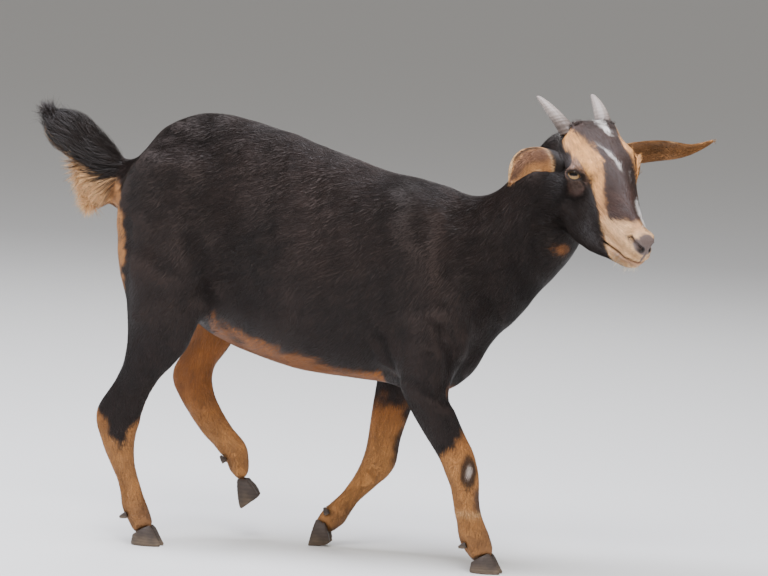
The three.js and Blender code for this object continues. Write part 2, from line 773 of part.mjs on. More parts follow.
for (const [name, leg] of Object.entries(LEGS)) {
  const side = name.endsWith('left') ? 1 : -1;
  const xs = leg.region.map(([x]) => x);
  const top = Math.max(...leg.region.map(([, z]) => z));
  const low = [Math.min(...xs) - 30, side > 0 ? -40 : -125, -20];
  const high = [Math.max(...xs) + 30, side > 0 ? 125 : 40, top + 30];
  let limb = meshed(low, high, CELL.leg).intersect(legBlock(leg, side, 0));
  const foot = name.replace('leg_', '_');
  for (const digit of [-1, 1]) {
    const place = digit === side ? 'outer' : 'inner';
    limb = limb.subtract(solid(placeFoot(clawGeometry(digit, GAP), leg.foot)));
    limb = limb.subtract(solid(dewclawGeometry(leg.dewclaws, digit, GAP)));
    const claw = solid(placeFoot(clawGeometry(digit, 0), leg.foot))
      .subtract(halfSpace([0, 0, GAP / 2], [0, 0, -1]));
    add(`claw_${foot}_${place}`, fromSolid(claw), COLOURS.hoof, 0.5);
    add(`dewclaw_${foot}_${place}`, dewclawGeometry(leg.dewclaws, digit, 0), COLOURS.hoof, 0.5);
  }
  add(name, fromSolid(limb), COLOURS.tan, 0.8);
}

const corner = fromHead(60, -60, 0);
const headBox = [-1, 1].map((d) => [corner.x + d * 150, corner.y + d * 130, corner.z + d * 150]);
let head = meshed(...headBox, CELL.head).intersect(beyond(headCut));
for (const side of [-1, 1]) {
  const hand = side > 0 ? 'left' : 'right';
  const [s, t, l] = EYE.at;
  const globe = (grow) => {
    const ball = new THREE.SphereGeometry(EYE.radius + grow, 10, 6);
    ball.translate(...fromHead(s, t, side * l).toArray());
    return ball;
  };
  const open = new THREE.Vector3(...EAR_OPEN[hand]).normalize();
  const ear = (grow) => earGeometry(side > 0 ? EAR_LEFT : EAR_RIGHT, open, grow);
  for (const piece of [globe(GAP), hornGeometry(side, GAP), ear(GAP)]) head = head.subtract(solid(piece));
  add(`eye_${hand}`, globe(0), COLOURS.eye, 0.15);
  add(`horn_${hand}`, hornGeometry(side, 0), COLOURS.horn, 0.6);
  add(`ear_${hand}`, ear(0), COLOURS.ear, 0.8);
}
add('head', fromSolid(head), COLOURS.tan, 0.8);

// origin: middle of the whole goat's box, on the floor
goat.updateMatrixWorld(true);
const extent = new THREE.Box3().setFromObject(goat);
goat.position.set(-(extent.min.x + extent.max.x) / 2, -(extent.min.y + extent.max.y) / 2, 0);

export default goat;
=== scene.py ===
"""A young goat in mid step, life size. One skin with no seam replaces the solids of flesh, and
thousands of small mesh tufts lie over it. Eyes, horns, claws and dewclaws are pieces of their
own. Metres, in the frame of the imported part: +X forward, +Y the goat's left, +Z up."""
import math
from contextlib import contextmanager

import bmesh
import bpy
import numpy as np
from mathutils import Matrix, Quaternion, Vector
from mathutils.bvhtree import BVHTree


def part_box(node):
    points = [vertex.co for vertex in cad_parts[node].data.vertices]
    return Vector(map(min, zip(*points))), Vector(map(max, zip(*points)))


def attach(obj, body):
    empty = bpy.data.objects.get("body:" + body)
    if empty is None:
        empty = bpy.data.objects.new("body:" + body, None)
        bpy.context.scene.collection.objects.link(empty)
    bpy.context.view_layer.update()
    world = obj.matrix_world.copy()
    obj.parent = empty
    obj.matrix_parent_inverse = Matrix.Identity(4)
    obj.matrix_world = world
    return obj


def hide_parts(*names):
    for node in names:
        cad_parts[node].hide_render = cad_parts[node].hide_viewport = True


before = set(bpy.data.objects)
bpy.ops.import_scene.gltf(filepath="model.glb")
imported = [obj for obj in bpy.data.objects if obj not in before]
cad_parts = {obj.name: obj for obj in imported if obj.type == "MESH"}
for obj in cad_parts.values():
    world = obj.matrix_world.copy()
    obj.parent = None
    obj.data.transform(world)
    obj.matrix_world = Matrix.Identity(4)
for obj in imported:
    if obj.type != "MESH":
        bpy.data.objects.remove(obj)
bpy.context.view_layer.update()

MM = 0.001
RNG = np.random.default_rng(7)
FEET = [f"{end}_{hand}" for end in ("fore", "hind") for hand in ("right", "left")]
LEGS = [f"{end}leg_{hand}" for end in ("fore", "hind") for hand in ("right", "left")]
FLESH = ["trunk", "neck", "head", "tail", *LEGS]
EARS = ["ear_right", "ear_left"]
HORNS = ["horn_right", "horn_left"]
CLAWS = [f"claw_{foot}_{place}" for foot in FEET for place in ("outer", "inner")]
DEWCLAWS = [f"dewclaw_{foot}_{place}" for foot in FEET for place in ("outer", "inner")]
HOOFS = CLAWS + DEWCLAWS
TRUNK, NECK, HEAD, TAIL = range(4)
EAR = len(FLESH)  # label of skin on an ear

VOXEL = 4.5 * MM  # first skin mesh
HEAD_TURN, HEAD_PITCH, HEAD_ROLL = (math.radians(a) for a in (-40, 46, 3))
EYE_AT = (35.7, -44.6)  # s and t of both eyes in the head's frame, mm
EYE_RADIUS = 12.5


# ---- small tools ---------------------------------------------------------------------------------

def unit(v):
    v = np.asarray(v, float)
    return v / np.maximum(np.linalg.norm(v, axis=-1, keepdims=True), 1e-12)


def ease(low, high, x):
    """0 where x is at low, 1 where it is at high, and smooth between."""
    t = np.clip((x - low) / (high - low), 0, 1)
    return t * t * (3 - 2 * t)


def bell(x, width):
    return np.exp(-(x / width) ** 2)


def border(x, line):
    """Height at x of a line through the given corners."""
    return np.interp(x, [p[0] for p in line], [p[1] for p in line])


def along_line(points, line):
    """Distance from each point to a bent line, and the place along it 0 to 1."""
    line = np.array(line, float)
    best, place = np.full(len(points), 1e9), np.zeros(len(points))
    for i, (a, b) in enumerate(zip(line[:-1], line[1:])):
        t = np.clip(((points - a) @ (b - a)) / ((b - a) @ (b - a)), 0, 1)
        d = np.linalg.norm(points - a - t[:, None] * (b - a), axis=1)
        near = d < best
        best = np.where(near, d, best)
        place = np.where(near, (i + t) / (len(line) - 1), place)
    return best, place


def near_place(x, y, z, at, radii):
    """Distance from the middle of an ellipsoid, 1 on its surface."""
    away = [(p - middle) / radius for p, middle, radius in zip((x, y, z), at, radii)]
    return np.linalg.norm(np.stack(away), axis=0)


def along_skin(way, normal):
    """Directions laid flat on the skin."""
    return unit(way - (way * normal).sum(1)[:, None] * normal)


def round_axis(angle, level, up):
    """Directions at the given angles from one axis to another."""
    return np.cos(angle)[:, None] * level + np.sin(angle)[:, None] * up


def vectors(x, y, z):
    return np.stack(np.broadcast_arrays(x, y, z), 1)


def on_leg(label):
    return (label > TAIL) & (label < EAR)


def ripple(points, size, seed, waves=7):
    """Smooth random values of about -1 to 1, in patches of about the given size."""
    rng = np.random.default_rng(seed)
    total = np.zeros(len(points))
    for _ in range(waves):
        k = unit(rng.normal(size=3)) * (2 * math.pi / (size * rng.uniform(1.4, 3.2)))
        total += np.sin(points @ k + rng.uniform(0, 2 * math.pi))
    return total / math.sqrt(waves)


def rgb(*srgb):
    """Screen colour of 0 to 255 as linear light."""
    c = np.array(srgb, float) / 255
    return np.where(c <= 0.04045, c / 12.92, ((c + 0.055) / 1.055) ** 2.4)


def mix(a, b, t):
    """Colour a with the share t of it turned into b."""
    t = np.asarray(t)[..., None]
    return a * (1 - t) + b * t


# ---- the head's frame: s along the nose, t out of the forehead, l to the goat's left, mm ---------

def turned(v, axis, angle):
    v, axis = np.asarray(v, float), np.asarray(axis, float)
    return (v * math.cos(angle) + np.cross(axis, v) * math.sin(angle)
            + axis * (axis @ v) * (1 - math.cos(angle)))


AXIS_S = np.array([math.cos(HEAD_TURN) * math.cos(HEAD_PITCH),
                   math.sin(HEAD_TURN) * math.cos(HEAD_PITCH), -math.sin(HEAD_PITCH)])
AXIS_L = turned((-math.sin(HEAD_TURN), math.cos(HEAD_TURN), 0), AXIS_S, HEAD_ROLL)
AXIS_T = np.cross(AXIS_S, AXIS_L)
HEAD_AXES = np.stack([AXIS_S, AXIS_T, AXIS_L])


def centre_of(node):
    low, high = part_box(node)
    return (np.array(low) + np.array(high)) / 2


EYE_CENTRES = {hand: centre_of(f"eye_{hand}") for hand in ("right", "left")}
HEAD_ORIGIN = (sum(EYE_CENTRES.values()) / 2
               - AXIS_S * EYE_AT[0] * MM - AXIS_T * EYE_AT[1] * MM)
EYE_SIDE = np.linalg.norm(EYE_CENTRES["right"] - EYE_CENTRES["left"]) / 2 / MM


def to_head(points):
    return (np.asarray(points) - HEAD_ORIGIN) @ HEAD_AXES.T / MM


def from_head(stl):
    return HEAD_ORIGIN + np.asarray(stl, float) * MM @ HEAD_AXES


# ---- meshes --------------------------------------------------------------------------------------

def node_mesh(name):
    """A CAD node's points, its shared corners joined, and its triangles."""
    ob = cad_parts[name]
    co = points_of(ob)
    tri, _ = triangles_of(ob)
    tri = tri.ravel()
    _, first, back = np.unique(np.round(co / 2e-6).astype(np.int64), axis=0,
                               return_index=True, return_inverse=True)
    tri = back.reshape(-1)[tri].reshape(-1, 3)
    keep = (tri[:, 0] != tri[:, 1]) & (tri[:, 1] != tri[:, 2]) & (tri[:, 0] != tri[:, 2])
    return co[first], tri[keep]


def joined(parts):
    """Several meshes of points and triangles as one."""
    start = np.cumsum([0] + [len(p) for p, _ in parts])
    return np.vstack([p for p, _ in parts]), np.vstack([f + i for (_, f), i in zip(parts, start)])


def face_cross(points, tri):
    a, b, c = (points[tri[:, i]] for i in range(3))
    return np.cross(b - a, c - a)


def point_normals(points, tri):
    n = face_cross(points, tri)
    out = np.zeros_like(points)
    for i in range(3):
        np.add.at(out, tri[:, i], n)
    return unit(out)


def net_of(ob):
    return Net(len(ob.data.vertices), edges_of(ob))


def placed(name, data, **values):
    """An object for the given data, in the scene."""
    ob = bpy.data.objects.new(name, data)
    for key, value in values.items():
        setattr(ob, key, value)
    bpy.context.scene.collection.objects.link(ob)
    return ob


def new_object(name, points, faces):
    me = bpy.data.meshes.new(name)
    me.from_pydata([tuple(p) for p in points], [], [tuple(f) for f in faces])
    me.update()
    return placed(name, me)


def write_colours(me, colours):
    """The mesh's colour attribute, one linear colour for each point."""
    tint = np.ones((len(colours), 4))
    tint[:, :3] = colours
    me.color_attributes.new("coat", "FLOAT_COLOR", "POINT").data.foreach_set("color", tint.ravel())


def pulled(items, key, size=1, kind=float):
    """One property of every item of a mesh, as rows of the given size."""
    values = np.empty(len(items) * size, kind)
    items.foreach_get(key, values)
    return values.reshape(-1, size) if size > 1 else values


def points_of(ob):
    return pulled(ob.data.vertices, "co", 3)


def set_points(ob, points):
    ob.data.vertices.foreach_set("co", np.asarray(points, float).ravel())
    ob.data.update()


def edges_of(ob):
    return pulled(ob.data.edges, "vertices", 2, int)


def triangles_of(ob):
    """Triangles of a mesh object, with the loop of each corner."""
    ob.data.calc_loop_triangles()
    return tuple(pulled(ob.data.loop_triangles, key, 3, int) for key in ("vertices", "loops"))


def surface_tree(points, tri):
    """Nearest-surface tree of a triangle mesh."""
    return BVHTree.FromPolygons([tuple(p) for p in points], [tuple(int(i) for i in f) for f in tri],
                                all_triangles=True)


@contextmanager
def editing(ob):
    """A mesh object's BMesh, written back at the end."""
    bm = bmesh.new()
    bm.from_mesh(ob.data)
    yield bm
    bm.to_mesh(ob.data)
    bm.free()
    ob.data.update()


def hand_in(ob, slot, *nodes):
    """Gives a piece its body and hides the nodes it stands for. The slot is not used."""
    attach(ob, "root")
    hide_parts(*nodes)


def applied(ob):
    """Bakes an object's modifiers into its mesh."""
    bpy.context.view_layer.update()
    me = bpy.data.meshes.new_from_object(ob.evaluated_get(bpy.context.evaluated_depsgraph_get()))
    old = ob.data
    ob.modifiers.clear()
    ob.data = me
    bpy.data.meshes.remove(old)


def shade_smooth(ob):
    ob.data.polygons.foreach_set("use_smooth", np.ones(len(ob.data.polygons), bool))


class Net:
    """The edges of a mesh, for averages over each point's neighbours."""

    def __init__(self, count, edges):
        both = np.vstack([edges, edges[:, ::-1]])
        order = np.argsort(both[:, 0], kind="stable")
        self.beside = both[order, 1]
        degree = np.bincount(both[:, 0], minlength=count)
        self.lone = degree == 0
        self.degree = np.maximum(degree, 1)
        self.start = np.minimum(np.concatenate([[0], np.cumsum(degree)[:-1]]), len(self.beside) - 1)

    def mean(self, values):
        flat = values if values.ndim > 1 else values[:, None]
        out = np.add.reduceat(flat[self.beside], self.start, axis=0) / self.degree[:, None]
        out[self.lone] = flat[self.lone]
        return out if values.ndim > 1 else out[:, 0]

    def relax(self, values, passes, weight=0.5):
        w = weight if np.isscalar(weight) or values.ndim == 1 else np.asarray(weight)[:, None]
        for _ in range(passes):
            values = values + (self.mean(values) - values) * w
        return values


# ---- skin: one closed surface over all the flesh -------------------------------------------------

def flesh_tree(names):
    """Nearest-surface tree of CAD nodes, and the node that each of its triangles belongs to."""
    parts = [node_mesh(name) for name in names]
    owner = np.repeat(np.arange(len(names)), [len(f) for _, f in parts])
    return surface_tree(*joined(parts)), owner


def nearest(tree, points):
    """Distance from each point to the tree's surface, minus inside, and the nearest triangle."""
    distance, index = np.empty(len(points)), np.empty(len(points), int)
    for i, p in enumerate(points):
        spot, normal, face, d = tree.find_nearest(p)
        side = (p[0] - spot[0]) * normal[0] + (p[1] - spot[1]) * normal[1] + (p[2] - spot[2]) * normal[2]
        distance[i] = math.copysign(d, side)
        index[i] = face
    return distance, index


def plug(name, tree):
    """A closed hull over the part of a hard node that is set in the flesh, to fill its socket."""
    points, _ = node_mesh(name)
    distance, _ = nearest(tree, points)
    inside = points[np.abs(distance) < 0.6 * MM]
    if len(inside) < 5:
        return None
    bm = bmesh.new()
    for p in inside:
        bm.verts.new(p)
    bmesh.ops.convex_hull(bm, input=bm.verts)
    bmesh.ops.delete(bm, geom=[v for v in bm.verts if not v.link_faces], context="VERTS")
    bmesh.ops.triangulate(bm, faces=bm.faces)
    bm.verts.index_update()
    faces = np.array([[v.index for v in f.verts] for f in bm.faces])
    out = np.array([v.co[:] for v in bm.verts]), faces
    bm.free()
    return out


def flesh_surface(tree):
    """All flesh as one closed mesh of even squares, the thin cuts between the solids closed."""
    swell = 0.6 * MM
    parts = []
    for name in FLESH:
        points, tri = node_mesh(name)
        parts.append((points + point_normals(points, tri) * swell, tri))
    parts += [node_mesh(f"eye_{hand}") for hand in ("right", "left")]
    parts += [plug(name, tree) for name in EARS + HORNS + HOOFS]
    ob = new_object("skin", *joined([part for part in parts if part is not None]))
    remesh = ob.modifiers.new("voxels", "REMESH")
    remesh.mode = "VOXEL"
    remesh.voxel_size = VOXEL
    applied(ob)
    return ob


def leg_share(points, label):
    """0 high on a leg to 1 where it is bone and tendon."""
    return np.where(on_leg(label), ease(0.30, 0.19, points[:, 2]), 0)


# by label: trunk, neck, head, tail, the four legs, ears
HAIR_DEPTH = [3.0, 2.8, 1.3, 6.0, 2.6, 2.6, 2.6, 2.6, 0.5]  # mm
ROUNDING = [1.0, 0.85, 0.14, 0.3, 1.0, 1.0, 1.0, 1.0, 1.0]
SHIN_DEPTH, SHIN_ROUNDING = 1.5, 0.16  # low on a leg


def coat_depth(points, label):
    """How far the skin lies under the coat's tips, in metres."""
    depth = np.choose(np.minimum(label, EAR), HAIR_DEPTH)
    leg = leg_share(points, label)
    return (depth * (1 - leg) + np.minimum(depth, SHIN_DEPTH) * leg) * MM


def smooth_skin(ob, tree, owner):
    """Rounds off the facets and draws the surface in by the depth of the coat."""
    points = points_of(ob)
    net = net_of(ob)
    _, face = nearest(tree, points)
    label = owner[face]
    leg = leg_share(points, label)
    weight = np.choose(np.minimum(label, EAR), ROUNDING)
    weight = np.where(label > TAIL, 1 - leg + SHIN_ROUNDING * leg, weight)
    weight = net.relax(weight, 8)
    depth = net.relax(coat_depth(points, label), 14)
    smooth = net.relax(points, 46, weight * 0.85)
    off, _ = nearest(tree, smooth)
    off = net.relax(off, 34, np.clip(weight * 2, 0.2, 0.9))
    tri, _ = triangles_of(ob)
    normal = net.relax(point_normals(smooth, tri), 3)
    points = smooth - unit(normal) * (off + depth)[:, None]
    for rounds in (14, 8):
        off, _ = nearest(tree, points)
        off = net.relax(off + depth, rounds, np.clip(weight * 2, 0.2, 0.9))
        points = points - unit(normal) * off[:, None]
    set_points(ob, points)


MIDDLE_Y = 23.2  # middle plane of the trunk, mm
THIGHS = -198  # the left thigh is swung forward, so forms behind this x are on the right one only

# creases and swells of the muscles: line in mm, depth (minus swells out), width
FORMS = [
    ([(43, -52, 280), (48, -48, 262), (54, -45, 246), (58, -43, 232)], 4.5, 8),  # crease behind the elbow
    # crease before the upper arm
    ([(116, -58, 300), (119, -59, 284), (129, -55, 268), (131, -52, 250), (128, -52, 228)], 4.0, 7),
    ([(146, -34, 284), (146, -30, 262)], -4.5, 16),  # breast
    ([(84, -62, 300), (92, -64, 262), (104, -62, 235)], -3.5, 20),  # upper arm
    ([(-196, -65, 380), (-188, -64, 345), (-183, -56, 318)], 2.4, 14),  # crease before the thigh
    ([(-190, -46, 302), (-200, -50, 278), (-214, -50, 256)], -4.0, 15),  # stifle
    ([(-222, -68, 400), (-212, -66, 340)], -2.5, 22),  # thigh
    ([(121, -22, 436), (121, -44, 382), (116, -56, 333)], 3.5, 15),  # crease before the shoulder
    ([(60, -50, 420), (70, -62, 350)], -3.0, 26),  # shoulder
    ([(-166, -58, 432), (-158, -60, 412)], 4.5, 24),  # hollow of the flank
    ([(-262, -60, 400), (-264, -64, 340), (-262, -62, 290)], -2.0, 14),  # back of the thigh
    ([(-283, -58, 400), (-280, -60, 330), (-284, -56, 270)], 1.8, 8),  # crease down the back of the thigh
    ([(-275, 0, 525), (-235, 0, 542), (-190, 0, 545)], -3.5, 34),  # rump
]


def model_forms(ob):
    """Muscles and creases of shoulder, chest, flank and thigh, mirrored to the left side."""
    points = points_of(ob)
    tri, _ = triangles_of(ob)
    normal = point_normals(points, tri)
    place = points / MM
    push = np.zeros(len(points))
    for line, depth, width in FORMS:
        for side in (1, -1):
            row = np.array(line, float)
            row[:, 1] = MIDDLE_Y + (row[:, 1] - MIDDLE_Y) * side
            if side < 0 and row[:, 0].mean() < THIGHS:
                continue
            d, _ = along_line(place, row)
            push -= depth * bell(d, width)
    set_points(ob, points + normal * push[:, None] * MM)


def refine(ob, chosen):
    """Splits the faces between the chosen points in four, and evens out the new points."""
    with editing(ob) as bm:
        edges = [e for e in bm.edges if chosen[e.verts[0].index] and chosen[e.verts[1].index]]
        old = len(bm.verts)
        bmesh.ops.subdivide_edges(bm, edges=edges, cuts=1, use_grid_fill=True)
        bmesh.ops.triangulate(bm, faces=[f for f in bm.faces if len(f.verts) > 4])
    points = points_of(ob)
    fresh = np.zeros(len(points))
    fresh[old:] = 1
    net = net_of(ob)
    near = np.clip(net.relax(fresh, 3) * 3, 0, 1)
    shrunk = net.relax(points, 3, near * 0.5)
    back = net.relax(points - shrunk, 4, near * 0.7)
    set_points(ob, shrunk + back)


def ear_mesh(name):
    """A CAD ear as a fine smooth leaf, a little inside its solid."""
    points, tri = node_mesh(name)
    ob = new_object(name + "_fine", points, tri)
    with editing(ob) as bm:
        bmesh.ops.join_triangles(bm, faces=bm.faces, angle_face_threshold=0.7, angle_shape_threshold=0.9)
    ob.modifiers.new("fine", "SUBSURF").levels = 2
    applied(ob)
    fine = points_of(ob)
    t, _ = triangles_of(ob)
    set_points(ob, fine - point_normals(fine, t) * 0.35 * MM)
    return ob


def add_ears(ob):
    """Joins both ears to the skin and rounds the crease round each root."""
    trees = []
    for name in EARS:
        ear = ear_mesh(name)
        trees.append(surface_tree(points_of(ear), triangles_of(ear)[0]))
        union = ob.modifiers.new("ear", "BOOLEAN")
        union.operation = "UNION"
        union.solver = "MANIFOLD"
        union.object = ear
        applied(ob)
        bpy.data.objects.remove(ear)
    points = points_of(ob)
    stl = to_head(points)
    near = (np.abs(stl[:, 2]) > 25) & (np.abs(stl[:, 0] - 15) < 60) & (np.abs(stl[:, 1] + 45) < 50)
    on_ear = np.zeros(len(points))
    for i in np.where(near)[0]:
        on_ear[i] = any(tree.find_nearest(points[i])[3] < 0.05 * MM for tree in trees)
    net = net_of(ob)
    seam = net.mean(on_ear)
    seam = np.where((seam > 0.05) & (seam < 0.95), 1.0, 0.0)
    seam = np.clip(net.relax(seam, 4) * 2.5, 0, 1)
    set_points(ob, net.relax(points, 12, seam * 0.5))
    with editing(ob) as bm:
        bmesh.ops.triangulate(bm, faces=[f for f in bm.faces if len(f.verts) > 4])


# ---- eyes and lids -------------------------------------------------------------------------------

def globe(side):
    """Middle of an eye in the head's frame, -1 for the right one and 1 for the left."""
    return np.array([*EYE_AT, side * EYE_SIDE])


def eye_axes(side):
    """Out of the opening, along it to the nose, and up across it, in the head's frame."""
    out = unit((0.45, 0.455, side * 0.77))
    along = np.array((0.694, 0.335, -side * 0.637))
    along = unit(along - out * (along @ out))
    return out, along, side * np.cross(out, along)


def lid_margin(around):
    """Angle from the opening's middle to the lid's edge, degrees, for directions round it."""
    x = 44 * np.cos(around) + 4 * np.maximum(np.cos(around), 0) ** 10
    height = np.where(np.sin(around) > 0, 22, 25)
    y = height * np.sin(around) * (1 - 0.24 * np.cos(around) ** 2)
    return np.hypot(x, y), np.arctan2(y, x)


def eye_view(stl, side):
    """Angle from the opening's middle, direction round it and distance, seen from the globe."""
    out, along, up = eye_axes(side)
    v = np.asarray(stl, float) - globe(side)
    far = np.linalg.norm(v, axis=-1)
    v = v / np.maximum(far, 1e-9)[..., None]
    theta = np.degrees(np.arccos(np.clip(v @ out, -1, 1)))
    return theta, np.arctan2(v @ up, v @ along), far


def eye_gap(stl):
    """Distance to the middle of the nearer eye, mm."""
    return np.minimum(eye_view(stl, -1)[2], eye_view(stl, 1)[2])


def rows_of(ob):
    """A mesh object's faces as rows of four corners, -1 last in a triangle."""
    start, total = (pulled(ob.data.polygons, key, 1, int) for key in ("loop_start", "loop_total"))
    corner = pulled(ob.data.loops, "vertex_index", 1, int)
    rows = np.full((len(start), 4), -1)
    for k in range(4):
        has = total > k
        rows[has, k] = corner[start[has] + k]
    return rows


def rebuilt(ob, points, rows):
    """Gives an object new points and faces, leaving out the points that no face uses."""
    used = np.unique(rows[rows >= 0])
    new = np.full(len(points), -1)
    new[used] = np.arange(len(used))
    rows = np.where(rows >= 0, new[rows], -1)
    me = bpy.data.meshes.new(ob.name)
    me.from_pydata([tuple(p) for p in points[used]], [], [tuple(r[r >= 0]) for r in rows])
    me.update()
    old = ob.data
    ob.data = me
    bpy.data.meshes.remove(old)


def rim_of(rows):
    """Corners round the open edge of a patch of faces, in order."""
    follow = {}
    edges = set()
    for row in rows:
        r = [int(i) for i in row if i >= 0]
        for a, b in zip(r, r[1:] + r[:1]):
            edges.add((a, b))
    for a, b in edges:
        if (b, a) not in edges:
            follow.setdefault(a, b)
    start = next(iter(follow))
    ring = [start]
    while follow[ring[-1]] != start and len(ring) <= len(follow):
        ring.append(follow[ring[-1]])
    return ring


def zipped(ring_a, phi_a, ring_b, phi_b):
    """Triangles between two rings that run the same way round."""
    def unwound(ring, phi):
        first = int(np.argmin(np.abs(phi)))
        ring = ring[first:] + ring[:first]
        turn = np.unwrap(np.concatenate([phi[first:], phi[:first]]))
        turn = np.maximum.accumulate(turn * np.sign(turn[-1] - turn[0]))
        return ring + ring[:1], np.append(turn, turn[0] + 2 * math.pi)
    a, ta = unwound(ring_a, phi_a)
    b, tb = unwound(ring_b, phi_b)
    i = j = 0
    out = []
    while i < len(a) - 1 or j < len(b) - 1:
        if j == len(b) - 1 or (i < len(a) - 1 and ta[i + 1] <= tb[j + 1]):
            out.append((a[i], b[j], a[i + 1], -1))
            i += 1
        else:
            out.append((a[i], b[j], b[j + 1], -1))
            j += 1
    return out


def add_lids(ob, side):
    """Cuts the skin away over the globe and sets in a fine patch with both lids."""
    count, reach = 96, 62.0
    centre = from_head(globe(side))
    out, along, up = eye_axes(side)
    points, rows = points_of(ob), rows_of(ob)
    tree = surface_tree(points, triangles_of(ob)[0])
    around = np.linspace(0, 2 * math.pi, count, endpoint=False)
    edge, turn = lid_margin(around)
    near = [(-4, 0.0), (-2, 0.1), (-0.6, 0.45), (0.6, 0.95), (2.2, 1.3), (4.5, 1.5), (8, 1.6)]
    rings = []
    for extra, lift in near:
        rings.append((edge + extra, np.full(count, lift), 0.0 if extra < 4 else (extra - 3) / 5))
    steps = 11
    for k in range(1, steps + 1):
        t = k / steps
        rings.append(((edge + 8) * (1 - t) + reach * t, np.full(count, 1.6 - 1.0 * t * t), 1.0))
    patch = []
    for theta, lift, join in rings:
        a = np.radians(theta)[:, None]
        way = np.cos(a) * out + np.sin(a) * round_axis(turn, along, up)
        lid = EYE_RADIUS + lift
        skin_at = np.array([tree.ray_cast(centre, Vector(HEAD_AXES.T @ w))[3] or 0.016 for w in way]) / MM
        if join:
            soft = 5.0 * join
            h = np.maximum(soft - np.abs(lid - skin_at), 0) / soft
            reach_to = np.maximum(lid, skin_at) + h * h * soft * 0.25
            lid = lid * (1 - join) + reach_to * join
        if theta is rings[-1][0]:
            lid = skin_at
        patch.append(from_head(globe(side) + way * lid[:, None]))
    middle = np.stack([points[rows[:, k]] for k in range(3)]).mean(0)
    theta, _, far = eye_view(to_head(middle), side)
    gone = (theta < reach + 2.5) & (far < 34)
    rim = rim_of(rows[gone])
    offset = len(points)
    grid = offset + np.arange(len(rings) * count).reshape(len(rings), count)
    after = np.roll(grid, -1, axis=1)
    quads = np.stack([grid[:-1], grid[1:], after[1:], after[:-1]], -1).reshape(-1, 4)
    rim_phi = eye_view(to_head(points[rim]), side)[1]
    ring_phi = eye_view(to_head(patch[-1]), side)[1]
    seam = np.array(zipped(list(grid[-1]), ring_phi, rim, rim_phi))
    points = np.vstack([points, *patch])
    for strip in (quads, seam):
        a, b, c = (points[strip[:, k]] for k in range(3))
        facing = (np.cross(b - a, c - a) * (a - np.array(centre))).sum(1).sum()
        if facing < 0 and strip[0, 3] < 0:
            strip[:, 1:3] = strip[:, 2:0:-1].copy()
        elif facing < 0:
            strip[:] = strip[:, ::-1].copy()
    rebuilt(ob, points, np.vstack([rows[~gone], quads, seam]))
    points = points_of(ob)
    net = net_of(ob)
    theta, _, far = eye_view(to_head(points), side)
    band = np.where(far < 40, bell(theta - reach - 1, 5), 0)
    set_points(ob, net.relax(points, 10, band * 0.6))


def lay_lines(ob):
    """Draws the head's bent lines finer and lays them on the skin of both its sides."""
    tree = surface_tree(points_of(ob), triangles_of(ob)[0])
    for name, line in LINES.items():
        line = np.array(line, float)
        step = np.linspace(0, len(line) - 1, 6 * (len(line) - 1) + 1)
        fine = np.stack([np.interp(step, np.arange(len(line)), line[:, k]) for k in range(3)], 1)
        LAID[name] = []
        for side in (-1, 1):
            spots = [tree.find_nearest(p)[0] for p in from_head(fine * (1, 1, side))]
            LAID[name].append(to_head(np.array([tuple(p) for p in spots])))


def near_line(stl, name):
    """Distance to a laid line on either side of the head, mm, and the place along it 0 to 1."""
    right, left = (along_line(stl, line) for line in LAID[name])
    near = right[0] < left[0]
    return np.where(near, right[0], left[0]), np.where(near, right[1], left[1])


NOSTRIL = [(140, -31, 17), (144, -33.5, 17.6), (150, -35, 17), (157, -34.5, 13.5), (162, -35.5, 7.5)]
MOUTH = [(118, -74, 21), (125, -70.5, 19.5), (133, -67.5, 18.8), (148, -61, 17.8), (159, -56.5, 15),
         (165, -56, 8), (167, -57.5, 0)]
CLEFT = [(160, -31, 0), (166, -38, 0), (168, -47, 0), (167, -56, 0)]
BROW_FOLD = [(22, -27, 44), (32, -22.5, 46), (43, -22, 46), (50, -25, 43.5), (56, -29, 40.5), (62, -34, 38)]
LID_FOLD = [(24, -36, 47), (30, -31, 49), (40, -29, 50), (48, -31, 47)]
UNDER_FOLD = [(22, -56, 44), (33, -61, 43), (46, -56, 43), (56, -45, 41)]
DUCT = [(50, -33.5, 44), (55, -37, 42), (60, -41, 40), (66, -46, 37)]
LINES = dict(nostril=NOSTRIL, mouth=MOUTH, cleft=CLEFT, brow=BROW_FOLD, lid=LID_FOLD,
             under=UNDER_FOLD, duct=DUCT)
LAID = {}


